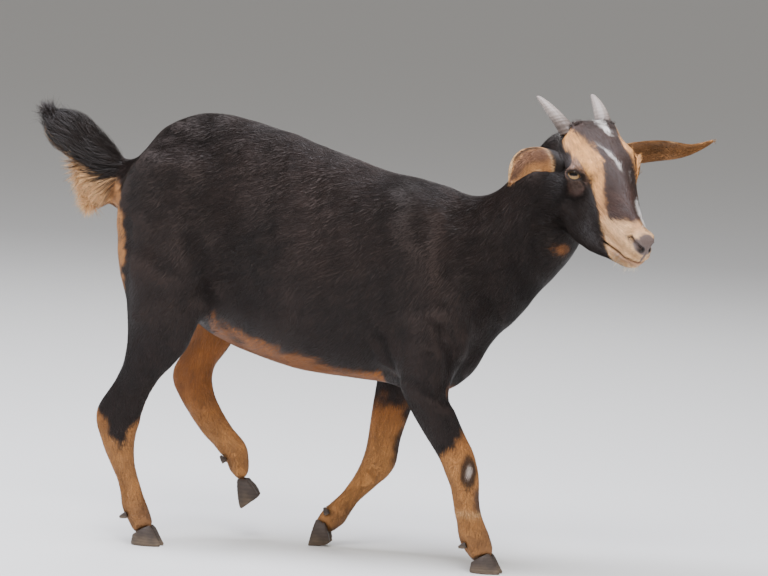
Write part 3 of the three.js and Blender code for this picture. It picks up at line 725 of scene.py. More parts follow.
def sculpt_head(ob):
    """Nostrils, mouth, philtrum, lips and the folds about the eyes, moved into the skin."""
    points = points_of(ob)
    stl = to_head(points)
    lay_lines(ob)
    near = (np.abs(stl[:, 2]) < 60) & (stl[:, 0] > 5) & (stl[:, 1] > -125) & (stl[:, 1] < 20)
    spot = stl[near]
    half = vectors(spot[:, 0], spot[:, 1], np.abs(spot[:, 2]))
    push = np.zeros(len(half))
    d, place = near_line(spot, "nostril")
    slit = 2.2 + 2.6 * bell(place - 0.6, 0.32)
    push -= 7.5 * bell(d, slit) * ease(-0.02, 0.12, place)
    wing = np.linalg.norm((half - (149, -28, 13)) / (12, 7, 7), axis=1)
    push += 1.8 * np.exp(-wing ** 2 * 1.6)
    d, place = near_line(spot, "mouth")
    push -= (3.0 + 0.6 * (1 - place)) * bell(d, 1.1)
    below = spot[:, 1] - border(spot[:, 0], MOUTH)
    push += 1.3 * bell(d - 4.2, 2.8) * ease(-1, 2, below)
    push += 1.1 * bell(d - 3.6, 2.4) * ease(1, -2, below)
    d, _ = near_line(spot, "cleft")
    push -= 1.4 * bell(d, 1.2)
    for name, depth, width in (("brow", 1.7, 1.5), ("lid", 1.2, 1.0), ("under", 0.9, 1.8),
                               ("duct", 1.5, 1.5)):
        d, place = near_line(spot, name)
        push -= depth * bell(d, width) * np.sin(math.pi * np.clip(place, 0.04, 0.96)) ** 0.5
    t, _ = triangles_of(ob)
    normal = net_of(ob).relax(point_normals(points, t), 2)
    points[near] += unit(normal[near]) * (push * MM)[:, None]
    set_points(ob, points)


# ---- markings and painted shade ------------------------------------------------------------------

BLACK = rgb(28, 19, 15)
DUSKY_BROWN = rgb(62, 48, 43)
BROWN = rgb(58, 38, 30)
STRIPE = rgb(194, 141, 86)
SAND = rgb(178, 129, 83)
CREAM = rgb(204, 162, 118)
MAUVE = rgb(108, 85, 73)
LID = rgb(118, 90, 74)
NOSE = rgb(104, 90, 86)
LIP = rgb(172, 132, 106)
DARK = rgb(18, 12, 11)
WHITE = rgb(226, 220, 214)
RUST = rgb(150, 92, 42)
OCHRE = rgb(174, 120, 68)
EAR_MID, EAR_SIDE, EAR_RIM = rgb(112, 78, 56), rgb(170, 120, 74), rgb(220, 180, 130)
EAR_HOLLOW = rgb(118, 78, 38)
THROAT = mix(RUST, DUSKY_BROWN, 0.3)

# borders of the markings: the place along the head or body and the border there, mm or degrees
STRIPE_INNER = [(-25, 62), (-14, 54), (0, 42), (15, 33), (37, 28.5), (56, 34), (76, 47), (93, 58),
                (111, 78), (125, 95)]
STRIPE_OUTER = [(-25, 60), (-10, 70), (0, 76), (28, 66), (61, 64), (80, 76), (97, 90), (110, 128),
                (122, 139)]
MUZZLE_BACK = [(0, 127), (60, 118), (90, 103), (129, 111), (139, 122), (160, 141), (180, 146)]
BELLY_TOP = [(-200, 306), (-181, 302), (-168, 287), (-144, 281), (-111, 267), (-79, 254), (-24, 239),
             (37, 233), (90, 227), (125, 225), (160, 205)]
FLANK_FOLD_SHADE = [(-163, -38, 281), (-152, -37, 274), (-144, -32, 266), (-139, -27, 260)]
RUMP_EDGE = [(290, -330), (318, -296), (330, -286), (367, -285), (410, -292), (444, -309), (456, -318)]
RIGHT_THIGH = [(-314, 168), (-308, 159), (-299, 148), (-289, 133), (-281, 124), (-276, 137),
               (-269, 149), (-264, 155), (-256, 162)]
FORE_MIDDLE = {-1: 151, 1: 49}  # x of the right and the left forearm
LEFT_HOCK_MIDDLE = [(95, -160), (143, -190), (184, -218), (228, -216)]
TAIL_FRINGE = [(-405, 440), (-394, 468), (-387, 481), (-367, 468), (-346, 457), (-328, 451), (-314, 448)]
# white: star between the horns, two streaks below it, and a patch beside the far nostril, with
# the width and the strength of each
WHITES = [([(-24, -17, 6), (-8, -8, 5), (6, -4, 8)], 4.6, 0.95),
          ([(26, -5, -14), (44, -6, -7), (62, -9, 1)], 1.5, 0.75),
          ([(66, -12, 12), (74, -14, 11)], 1.1, 0.5),
          ([(100, -27, 14), (114, -28, 12), (132, -31, 13)], 4.6, 0.95)]

EAR_LINES = {
    "right": np.array([(5, -56, -33, 13), (5, -54, -45, 16), (5, -50, -60, 18), (6, -47, -76, 18.5),
                       (10, -44, -96, 17.5), (19, -50, -112, 13), (27, -58.5, -120, 6.5),
                       (31, -63, -124, 2)]),
    "left": np.array([(5, -53, 34, 13), (4, -49, 46, 15.5), (6, -42, 72, 15.5), (8, -37, 99, 14.5),
                      (11, -36, 122, 12), (13, -34, 143, 8), (13, -27, 162, 4.5), (12, -19, 175, 2)]),
}
EAR_OPEN = {"right": unit((-0.2, 0.85, -0.5)), "left": unit((0.77, -0.64, -0.35))}


def ear_place(stl):
    """Along each ear 0 to 1, across it -1 to 1, its midline's direction and the way it opens."""
    along, across = np.zeros(len(stl)), np.zeros(len(stl))
    ahead, face = np.zeros((len(stl), 3)), np.zeros((len(stl), 3))
    for hand, side in (("right", -1), ("left", 1)):
        own = stl[:, 2] * side > 0
        line = EAR_LINES[hand]
        l = np.abs(stl[own, 2])
        at = np.stack([np.interp(l, np.abs(line[:, 2]), line[:, k]) for k in range(4)], 1)
        slope = np.gradient(line[:, :3], axis=0)
        way = unit(np.stack([np.interp(l, np.abs(line[:, 2]), slope[:, k]) for k in range(3)], 1))
        out = unit(EAR_OPEN[hand] - (way @ EAR_OPEN[hand])[:, None] * way)
        wide = np.cross(way, out)
        along[own] = np.clip((l - 33) / (np.abs(line[-1, 2]) - 33), 0, 1)
        across[own] = ((stl[own] - at[:, :3]) * wide).sum(1) / np.maximum(at[:, 3], 3)
        ahead[own], face[own] = way, out
    return along, across, ahead, face


def head_colour(points, stl):
    """Markings of the head with painted shade in its folds, nostrils and mouth line, and how bare its skin
    is.
    """
    s, t, l = stl.T
    m = np.abs(l)
    wave = ripple(points, 0.006, 11) * 1.6 + ripple(points, 0.0025, 12) * 1.2
    turn = np.degrees(np.arctan2(m, t + 48))
    # the front of the face grey-brown high up and brown towards the nose, its sides black; the grey high up
    # is partly painted sheen
    colour = mix(DUSKY_BROWN, BROWN, ease(55, 110, s))
    colour = mix(colour, BLACK, ease(60, 80, turn))
    colour = mix(colour, BLACK, ease(-20, -40, s))
    ragged = turn + wave * 1.6
    stripe = ease(-3.5, 3.5, ragged - border(s, STRIPE_INNER))
    stripe = stripe * ease(4, -4, ragged - border(s, STRIPE_OUTER)) * ease(-22, -12, s + wave)
    tone = mix(mix(STRIPE, OCHRE, 0.5 * ease(8, -14, s)), SAND, ease(60, 100, s))
    colour = mix(colour, tone * (1 + 0.1 * wave[:, None]), stripe)
    muzzle = ease(-4, 4, s + wave * 1.5 - border(turn, MUZZLE_BACK))
    colour = mix(colour, mix(CREAM, SAND, ease(-30, -26, t) * ease(150, 120, s)), muzzle)
    for line, width, strength in WHITES:
        d, _ = along_line(stl, line)
        ragged = width * (1 + 0.3 * wave)
        colour = mix(colour, WHITE, strength * ease(ragged + 1.6, ragged - 1.2, d))
    # skin about the eyes
    half = vectors(s, t, m)
    bare = np.zeros(len(stl))
    eye_side = ease(1.5, -1.5, t - border(s, BROW_FOLD))
    for side in (-1, 1):
        theta, around, far = eye_view(stl, side)
        edge, direction = lid_margin(np.linspace(-math.pi, math.pi, 181))
        order = np.argsort(direction)
        rim = theta - np.interp(around, direction[order], edge[order], period=2 * math.pi)
        close = far < 36
        lower = ease(0.2, -0.4, np.sin(around))
        reach = 40 - 14 * ease(0.1, -0.9, np.cos(around))
        above = ease(reach + 10, reach - 12, rim + wave * 4)
        pouch = ease(29, 17, far + wave * 1.4)
        ring = close * (above * (1 - lower) + 0.7 * pouch * lower) * eye_side
        colour = mix(colour, mix(LID, MAUVE, lower) * (1 + 0.12 * wave[:, None]), ring * 0.9)
        pink = bell(far - 22, 2) * lower * eye_side
        colour = mix(colour, rgb(128, 92, 82), pink * 0.35)
        colour = mix(colour, DARK, close * ease(8, 2.5, rim) * 0.9)
        bare = np.maximum(bare, 0.55 * close * ease(6, 2.5, rim))
    # dark along the crease from the inner corner of the eye: partly dark skin, partly painted shade in the
    # crease
    d, place = near_line(stl, "duct")
    colour = mix(colour, DARK, 0.85 * ease(3.6, 1.0, d) * ease(1.05, 0.4, place))
    # painted shade in the brow fold
    d, place = near_line(stl, "brow")
    colour = mix(colour, colour * 0.3, 0.8 * ease(2.4, 0.8, d) * ease(0.0, 0.3, place))
    # painted shade in the lid and under-eye folds
    for name in ("lid", "under"):
        d, _ = near_line(stl, name)
        colour = mix(colour, colour * 0.5, 0.6 * ease(1.8, 0.5, d))
    # nose pad, nostrils and lips, with painted shade in the nostrils and along the mouth line
    pad = np.linalg.norm((half - (156, -33, 0)) / (17, 10.5, 17.5), axis=1)
    pad = ease(1.08, 0.88, pad + wave * 0.02)
    d, _ = near_line(stl, "cleft")
    pad = np.maximum(pad, ease(2.8, 1.4, d))
    colour = mix(colour, NOSE, pad)
    # painted shade in and round the nostril slit
    d, place = near_line(stl, "nostril")
    colour = mix(colour, DARK, ease(5.8, 3.4, d) * ease(-0.01, 0.08, place))
    d, place = near_line(stl, "mouth")
    lip = ease(9, 4, d) * ease(1, -2, t - border(s, MOUTH)) * ease(132, 146, s)
    colour = mix(colour, LIP, 0.75 * lip)
    # painted shade along the mouth line
    colour = mix(colour, rgb(52, 34, 30), ease(2.0, 0.9, d))
    bare = np.maximum(bare, np.maximum(pad, ease(2.2, 1.0, d)))
    return colour, bare


def ear_colour(points, stl, normal):
    along, across, _, face = ear_place(stl)
    wave = ripple(points, 0.006, 13)
    v = np.abs(across) + wave * 0.07
    inside = ease(-0.15, 0.15, (normal * face).sum(1))
    open_side = mix(EAR_MID, EAR_SIDE, ease(0.25, 0.75, v))
    # painted shade in the fold of the left ear
    fold = bell(along - 0.42, 0.16) * ease(0.55, 0.1, np.abs(across + 0.1))
    hollow = mix(mix(EAR_HOLLOW, EAR_SIDE, 0.5 + 0.5 * wave * 0.4), DARK, 0.45 * fold)
    right = stl[:, 2] < 0
    colour = np.where(right[:, None], open_side, hollow)
    # painted shadow under the curled lower edge of the right ear
    under = ease(0.45, 0.6, -across) * ease(0.88, 0.8, v) * ease(0.3, 0.42, along) * ease(0.95, 0.8, along)
    colour = mix(colour, DARK, 0.8 * under * right)
    back = mix(RUST, EAR_SIDE, ease(0.0, 0.5, along))
    back = mix(back, DUSKY_BROWN, 0.4 * ease(0.6, 0.1, v))
    colour = mix(back, colour, inside)
    colour = mix(colour, EAR_RIM, ease(0.82, 0.97, v + 0.16 * (stl[:, 2] > 0)) * 0.9)
    edge = bell(along - 0.26, 0.02) * right * inside
    colour = mix(colour, EAR_RIM, edge * 0.8)
    root = ease(0.25, 0.22, along + wave * 0.008) * right
    return mix(colour, BLACK, root)


def body_colour(points, label, normal):
    x, y, z = (points / MM).T
    wave = ripple(points, 0.014, 21) * 3 + ripple(points, 0.006, 22) * 2.4
    colour = mix(BLACK, DUSKY_BROWN, 0.22 + 0.16 * ripple(points, 0.05, 23))
    # painted shade: the coat darkened towards DARK on skin that faces down and low on the body
    shade = 0.55 * ease(0.25, -0.45, normal[:, 2] + wave * 0.02)
    colour = mix(colour, DARK * (1.5, 1.05, 0.8), np.maximum(shade, 0.7 * ease(330, 250, z)))
    trunk = label == TRUNK
    # belly, painted shade in the flank fold, and brisket
    tan = ease(5, -5, z + wave - border(x, BELLY_TOP)) * ease(150, 120, x) * ease(-194, -182, x + wave)
    tan = tan * np.where(x > 40, ease(-0.4, -0.8, normal[:, 2]), 1.0)
    colour = mix(colour, RUST, tan * trunk)
    # painted shade: a dark slit along the flank fold
    flat = vectors(x, border(x, [FLANK_FOLD_SHADE[0], FLANK_FOLD_SHADE[-1]]), z)
    d, _ = along_line(flat, FLANK_FOLD_SHADE)
    colour = mix(colour, DARK, 0.92 * ease(6.5, 3.0, d + wave * 0.3) * trunk * (y < 8))
    brisket = near_place(x, y, z, (133, -42, 224), (8, 9, 7)) + wave * 0.05
    colour = mix(colour, RUST, 0.8 * ease(1.2, 0.6, brisket))
    # under the tail and down the backs of the thighs
    rear = ease(3, -3, x + wave * 0.7 - border(z, RUMP_EDGE)) * ease(452, 444, z + wave * 0.5)
    colour = mix(colour, rgb(168, 116, 70), rear * 0.92 * (trunk | (label > TAIL + 2)))
    # legs
    for k, name in enumerate(LEGS):
        own = label == TAIL + 1 + k
        side = 1 if name.endswith("left") else -1
        facing = normal[:, 1] * side  # 1 outside, -1 inside
        soft = 6.0
        if name.startswith("fore"):
            line = 172 + np.clip((x - FORE_MIDDLE[side]) * 1.17, -40, 12)
            inner = ease(0.1, -0.5, facing)
            line = line + 24 * inner if side < 0 else np.where(inner > 0.5, 188, line)
            soft = 6 + 7 * inner
        elif side < 0:
            line = border(x, RIGHT_THIGH) + 190 * ease(0.05, -0.5, facing)
        else:
            off = x - border(z, LEFT_HOCK_MIDDLE)
            line = 150 + 20 * ease(-3, -13, off + wave * 0.5) + 26 * ease(6, 15, off + wave * 0.5)
            line = line + 240 * ease(0.05, -0.5, facing)
        low = ease(soft, -soft, z + wave * 1.5 - line)
        tone = mix(RUST, OCHRE, ease(200, 120, z))
        if name.startswith("hind"):
            # painted shade: the hind legs' tan darkened, more so higher up under the belly
            tone = mix(tone, DUSKY_BROWN, 0.16 + 0.3 * ease(240, 330, z) + 0.08 * wave * 0.3)
        front = 0.55 + 0.45 * ease(-0.2, 0.6, normal[:, 0])
        tone = mix(tone, DUSKY_BROWN, 0.5 * ease(72, 40, z + wave * 1.5) * front)
        colour = mix(colour, tone, low * own)
    # dark streaks on the left foreleg's edges, and the callus and cannon of the right one
    left, right = label == TAIL + 2, label == TAIL + 1
    streak = ease(0.55, 0.98, normal[:, 0] + wave * 0.03) * ease(96, 125, z) * ease(215, 185, z)
    colour = mix(colour, BLACK, 0.92 * streak * left)
    cannon = ease(0.45, 0.85, normal[:, 0]) * ease(72, 80, z) * ease(112, 100, z)
    colour = mix(colour, DUSKY_BROWN, 0.8 * cannon * right)
    colour = mix(colour, EAR_RIM, 0.5 * bell(z - 74, 3) * right)
    knee = near_place(x, y, z, (163, -57, 127), (7, 8, 13.5)) + wave * 0.03
    colour = mix(colour, DARK, 0.88 * ease(1.9, 1.15, knee) * right)
    pale = ease(0.85, 0.25, knee) * ease(114, 124, z)
    colour = mix(colour, rgb(178, 164, 154), pale * right)
    # tail: black brush, tan fringe under it
    fringe = ease(5, -5, z + wave - border(x, TAIL_FRINGE))
    tail = mix(BLACK, mix(rgb(224, 176, 126), RUST, 0.3 * ease(-330, -312, x)), fringe)
    colour = mix(colour, tail, label == TAIL)
    return colour


def throat_patch(points):
    x, y, z = (points / MM).T
    d = near_place(x, y, z, (255, -4, 404), (7.5, 24, 7.5)) + ripple(points, 0.01, 24) * 0.16
    return ease(1.3, 0.6, d)


def markings_and_shade(points, label, normal):
    """Colour of the coat and skin at any place, linear, markings with painted shade among them, and 1 where
    the skin is bare.
    """
    colour = body_colour(points, label, normal)
    bare = np.zeros(len(points))
    stl = to_head(points)
    flat = normal @ HEAD_AXES.T
    head = label == HEAD
    colour[head], bare[head] = head_colour(points[head], stl[head])
    colour = mix(colour, THROAT, 0.75 * throat_patch(points) * (head | (label == NECK)))
    ear = label >= EAR
    colour[ear] = ear_colour(points[ear], stl[ear], flat[ear])
    return np.clip(colour, 0.001, 1), bare


# ---- the lie of the coat -------------------------------------------------------------------------

def lie_of_coat(points, label, normal, net):
    """Unit vectors along the skin, the way the hair points."""
    x, _, z = (points / MM).T
    way = np.zeros_like(points)
    side = np.abs(normal[:, 1])
    low = ease(0.35, -0.4, normal[:, 2])
    way += vectors(-1, 0, -0.25 - 0.75 * side * (0.4 + low))
    way[label == NECK] = (-0.62, 0.03, -0.78)
    chest = np.exp(-np.linalg.norm(points / MM - (140, -45, 268), axis=1) / 55)
    way += chest[:, None] * np.array([0.5, 0, -1.6])
    limb = on_leg(label)
    hind = limb & (label > TAIL + 2)
    way[limb] = (-0.15, 0, -1)
    thigh = (hind * ease(200, 330, z))[:, None]
    way = way * (1 - thigh) + thigh * np.array([-0.55, 0, -0.85])
    way[hind & (z < 200)] = (0.18, 0, -1)
    tail = label == TAIL
    edge = np.interp(x, [-405, -387, -346, -314], [450, 481, 457, 448])
    under = ease(4, -10, z - edge)[:, None]
    tip = ease(-385, -412, x)[:, None]
    brush = np.array([-0.82, 0, 0.5]) * (1 - tip) + tip * np.array([-0.6, 0, 0.75])
    way = np.where(tail[:, None], brush * (1 - under) + under * np.array([-0.55, 0, -0.85]), way)
    stl = to_head(points)
    s, t, l = stl.T
    head = label == HEAD
    fan = ease(40, 105, s) * ease(60, 20, np.abs(l)) * ease(-55, -30, t)
    fall = 0.15 - 1.1 * ease(-45, -95, t) * ease(110, 40, s)
    flow = vectors(-1.0, fall, np.sign(l) * (0.15 + 0.8 * fan))
    front = ease(130, 150, s)[:, None]
    flow = flow * (1 - front) + front * vectors(-0.6, -0.5, np.sign(l) * 0.7)
    for hand in (-1, 1):
        _, along, up = eye_axes(hand)
        _, around, far = eye_view(stl, hand)
        near = (ease(34, 24, far) * 0.9)[:, None]
        swirl = unit(round_axis(around, along, up))
        flow = flow * (1 - near) + near * (swirl * 1.2 - np.array([0.5, 0, 0]))
    way = np.where(head[:, None], flow @ HEAD_AXES, way)
    ear = label >= EAR
    _, _, ahead, _ = ear_place(stl)
    way = np.where(ear[:, None], ahead @ HEAD_AXES, way)
    for _ in range(10):
        way = net.relax(along_skin(way, normal), 3, 0.6)
    return along_skin(way, normal)


def coat_plan(points, label, normal, bare):
    """Length and width of tufts in mm, how far they stand off in degrees, and how thick they grow."""
    x, _, z = (points / MM).T
    stl = to_head(points)
    s, t, _ = stl.T
    length = np.full(len(points), 13.0)
    length[label == NECK] = 13.5
    length += 4 * np.exp(-np.linalg.norm(points / MM - (150, -20, 270), axis=1) / 35)
    length += 5 * ease(-150, -190, x) * ease(330, 290, z) + 4 * ease(-265, -285, x) * (z > 300)
    limb = on_leg(label)
    length = np.where(limb, 13 - 6 * ease(300, 170, z) - 1.5 * ease(90, 30, z), length)
    length[label == TAIL] = 30
    head = label == HEAD
    face = 10 - 3.0 * ease(20, 90, s) - 2.6 * ease(110, 130, s)
    face = np.where(s < 5, 10 + 2 * ease(5, -25, s), face)
    far = eye_gap(stl)
    face = np.where(far < 30, 2.8 + (face - 2.8) * ease(18, 30, far), face)
    face = face + 5 * ease(-60, -85, t) * ease(110, 60, s)
    length = np.where(head, face, length)
    ear = label >= EAR
    length = np.where(ear, 6.5, length)
    width = np.clip(0.42 + length * 0.028, 0.5, 1.3)
    width[label == TAIL] = 0.6
    lift = np.where(head | ear | limb, 7.0, 5.5)
    lift = np.where(head & (far < 30), 14 - 7 * ease(18, 30, far), lift)
    crest = (label == NECK) * ease(0.35, 0.8, normal[:, 2])
    lift = np.where(label == TAIL, 20.0, lift + 6 * crest)
    length = length + 4 * crest
    gap = np.full(len(points), 1.0)
    for name in CLAWS:
        claw = node_mesh(name)[0]
        top = claw[claw[:, 2] > claw[:, 2].max() - 5 * MM].mean(0)
        gap = np.minimum(gap, np.linalg.norm(points - top, axis=1))
    coronet = limb * ease(22, 12, gap / MM)
    length = length + 4 * coronet
    lift = lift + 4 * coronet
    thick = np.where(bare > 0.4, 0.0, 1.0 - 0.5 * bare)
    return length, width, lift, thick


# ---- tufts ---------------------------------------------------------------------------------------

class Skin:
    """The finished skin with everything the tufts need at its corners."""

    def __init__(self, ob, label):
        self.points = points_of(ob)
        self.tri, self.loop = triangles_of(ob)
        self.net = net_of(ob)
        normal = point_normals(self.points, self.tri)
        self.normal = unit(self.net.relax(normal, 1))
        self.label = label
        self.colour, self.bare = markings_and_shade(self.points, label, self.normal)
        self.lie = lie_of_coat(self.points, label, self.normal, self.net)
        plan = coat_plan(self.points, label, self.normal, self.bare)
        self.length, self.width, self.lift, self.thick = plan
        self.area = np.linalg.norm(face_cross(self.points, self.tri), axis=1) / 2
        self.uv = pulled(ob.data.uv_layers["OFBake"].data, "uv", 2)
        self.tree = surface_tree(self.points, self.tri)

    def scatter(self, count, weight):
        """Random places on the skin: triangle and share of each corner."""
        share = self.area * weight[self.tri].mean(1)
        total = np.cumsum(share)
        pick = np.searchsorted(total, (np.arange(count) + RNG.random(count)) / count * total[-1])
        pick = np.minimum(pick, len(self.tri) - 1)
        a, b = np.sqrt(RNG.random(count)), RNG.random(count)
        return pick, np.stack([1 - a, a * (1 - b), a * b], 1)

    def at(self, values, pick, share):
        corner = values[self.tri[pick]]
        return (corner * share.reshape(share.shape + (1,) * (corner.ndim - 2))).sum(1)

    def uv_at(self, pick, share):
        return (self.uv[self.loop[pick]] * share[..., None]).sum(1)


def turned_about(v, axis, angle):
    c, s = np.cos(angle)[:, None], np.sin(angle)[:, None]
    return v * c + np.cross(axis, v) * s + axis * (axis * v).sum(1)[:, None] * (1 - c)


def hugged(target, reach, height):
    """Points moved to the given height over the skin, unless the skin there is too far off."""
    out = np.empty_like(target)
    find = skin.tree.find_nearest
    for i, q in enumerate(target):
        spot, normal, _, d = find(q)
        if d < reach[i]:
            h = height[i]
            out[i] = (spot[0] + normal[0] * h, spot[1] + normal[1] * h, spot[2] + normal[2] * h)
        else:
            out[i] = q
    return out


def blades(name, spine, widths, up, colours, uv, thick=0.4):
    """One mesh of flat tapering blades, from their middle lines."""
    n, rings = spine.shape[0], spine.shape[1] - 1
    ahead = unit(spine[:, 1:] - spine[:, :-1])
    ahead = np.concatenate([ahead[:, :1], ahead[:, :-1] + ahead[:, 1:]], 1)
    across = unit(np.cross(unit(ahead), up[:, None]))
    over = np.cross(across, unit(ahead))
    body = spine[:, :-1]
    half = widths[:, :, None] / 2
    ring = np.stack([body - across * half, body + across * half, body + over * half * thick], 2)
    per = rings * 3 + 1
    points = np.concatenate([ring.reshape(n, rings * 3, 3), spine[:, -1:]], 1).reshape(-1, 3)
    quad, tri = [], []
    for r in range(rings - 1):
        for k in range(3):
            p, q = r * 3 + k, r * 3 + (k + 1) % 3
            quad.append((p, p + 3, q + 3, q))
    last = (rings - 1) * 3
    for k in range(3):
        tri.append((last + k, per - 1, last + (k + 1) % 3))
    one = np.concatenate([np.array(quad).ravel(), np.array(tri).ravel()]).astype(int)
    total = np.array([4] * len(quad) + [3] * len(tri))
    loops = (one[None] + np.arange(n)[:, None] * per).ravel()
    totals = np.tile(total, n)
    me = bpy.data.meshes.new(name)
    me.vertices.add(len(points))
    me.vertices.foreach_set("co", points.ravel())
    me.loops.add(len(loops))
    me.loops.foreach_set("vertex_index", loops)
    me.polygons.add(len(totals))
    me.polygons.foreach_set("loop_start", np.concatenate([[0], np.cumsum(totals)[:-1]]))
    me.polygons.foreach_set("loop_total", totals)
    me.polygons.foreach_set("use_smooth", np.ones(len(totals), bool))
    me.update(calc_edges=True)
    tint = np.concatenate([np.repeat(colours[:, :-1], 3, axis=1), colours[:, -1:]], 1)
    write_colours(me, tint.reshape(-1, 3))
    step = np.linspace(0, 1, rings + 1)
    local = np.zeros((per, 2))
    local[:rings * 3, 0] = np.tile([-0.5, 0.5, 0.0], rings)
    local[:rings * 3, 1] = np.repeat(step[:-1], 3) - 0.5
    local[-1, 1] = 0.5
    spot = np.clip(uv, 0.002, 0.998)[:, None] + local[None] * 0.003
    me.uv_layers.new(name="OFBake").data.foreach_set("uv", spot.reshape(-1, 2)[loops].ravel())
    me.materials.append(hair)
    return placed(name, me)


def streaks(root, lie):
    """Light and dark strands along the lie of the coat."""
    total = sum(ripple(root + lie * k * 6 * MM, 0.0035, 33) for k in range(-2, 3))
    return total / 2.4 + ripple(root, 0.012, 34) * 0.6


def cover(chosen, share):
    """How many tufts it takes to cover the chosen skin."""
    weight = skin.thick * chosen / (0.55 * skin.length * skin.width)
    count = int((skin.area * weight[skin.tri].mean(1)).sum() / MM ** 2 * share)
    return count, weight


def grow(pick, share, rings, name, nodes, slot="coat", loose=0.1, thin=1.0, free=0.0, stand=0.0,
         length=None, lie=None, colour=None):
    """Tufts at the given places, lying over the skin, joined in pieces of a bounded size."""
    count = len(pick)
    root = skin.at(skin.points, pick, share)
    normal = unit(skin.at(skin.normal, pick, share))
    lie = along_skin(skin.at(skin.lie, pick, share) if lie is None else lie, normal)
    swing = (ripple(root, 0.03, 31) * 0.16 + ripple(root, 0.011, 32) * 0.15
             + RNG.normal(size=count) * loose)
    lie = turned_about(lie, normal, swing)
    reach = skin.at(skin.length, pick, share) * RNG.uniform(0.75, 1.25, count) * MM
    width = skin.at(skin.width, pick, share) * RNG.uniform(0.75, 1.2, count) * thin * MM
    length = reach if length is None else length * RNG.uniform(0.7, 1.15, count) * MM
    lift = np.radians(skin.at(skin.lift, pick, share) * RNG.uniform(0.3, 1.5, count)) + stand
    steps = {3: (0.38, 0.72, 1.0), 2: (0.55, 1.0), 1: (1.0,)}[rings]
    spine = [root - normal * np.clip(length * 0.04, 0.08 * MM, 0.3 * MM)[:, None]]
    for u in steps:
        height = 0.2 * MM + length * np.tan(lift) * u * (1.3 - u) + RNG.random(count) * 0.25 * MM
        straight = root + (lie + np.tan(lift)[:, None] * free * normal) * (length * u)[:, None]
        if free:
            spine.append(straight)
        elif rings == 2 and u < 0.9:
            spine.append(straight + normal * height[:, None])
        else:
            spine.append(hugged(straight, 0.35 * length * u + 1.5 * MM, height))
    if rings == 2 and not free:
        middle = (spine[0] + spine[2]) / 2
        spine[1] = middle + normal * (length * 0.08 + 0.25 * MM)[:, None]
    spine = np.stack(spine, 1)
    taper = np.array({3: (0.75, 1.0, 0.62), 2: (0.85, 0.8), 1: (1.0,)}[rings])
    widths = width[:, None] * taper
    if colour is None:
        slid = root + lie * (length * RNG.uniform(-0.35, 0.35, count))[:, None]
        colour, _ = markings_and_shade(slid, skin.label[skin.tri[pick, 0]], normal)
    shade = np.exp(RNG.normal(size=count) * 0.2 + streaks(root, lie) * 0.16)
    colour = colour * shade[:, None]
    # each tuft painted darker at the root and lighter at the tip: painted shade down among the hairs
    tone = np.linspace(0.88, 1.1, rings + 1)
    colours = np.clip(colour[:, None] * tone[None, :, None], 0.001, 0.95)
    uv = skin.uv_at(pick, share)
    faces = rings * 6 - 3
    chunk = 190000 // faces
    for i in range(0, count, chunk):
        part = slice(i, i + chunk)
        title = name if count <= chunk else f"{name}_{i // chunk + 1}"
        ob = blades(title, spine[part], widths[part], normal[part], colours[part], uv[part])
        hand_in(ob, slot, *nodes)


def planted(places):
    """The triangle of the skin under each place, and the share of its corners."""
    pick, share = np.empty(len(places), int), np.empty((len(places), 3))
    for i, p in enumerate(places):
        spot, _, face, _ = skin.tree.find_nearest(p)
        a, b, c = skin.points[skin.tri[face]]
        u, v, w = b - a, c - a, np.array(spot) - a
        uu, uv, vv, wu, wv = u @ u, u @ v, v @ v, w @ u, w @ v
        down = max(uu * vv - uv * uv, 1e-18)
        second, third = (vv * wu - uv * wv) / down, (uu * wv - uv * wu) / down
        pick[i], share[i] = face, (1 - second - third, second, third)
    return pick, np.clip(share, 0, 1)


def sprigs(name, stl, way, length, width, stand, rings=2, loose=0.25, free=1.0, colour=None):
    """Loose hairs of the head, rooted near places in its frame and pointing the given way."""
    pick, at = planted(from_head(stl))
    way = np.broadcast_to(np.asarray(way, float), (len(pick), 3))
    if colour is not None:
        colour = np.tile(colour, (len(pick), 1))
    grow(pick, at, rings, name, ["head"], loose=loose, thin=width / skin.at(skin.width, pick, at),
         free=free, stand=math.radians(stand), length=length, lie=way @ HEAD_AXES, colour=colour)


def between(low, high, count):
    return RNG.uniform(low, high, (count, 3))


# ---- materials -----------------------------------------------------------------------------------

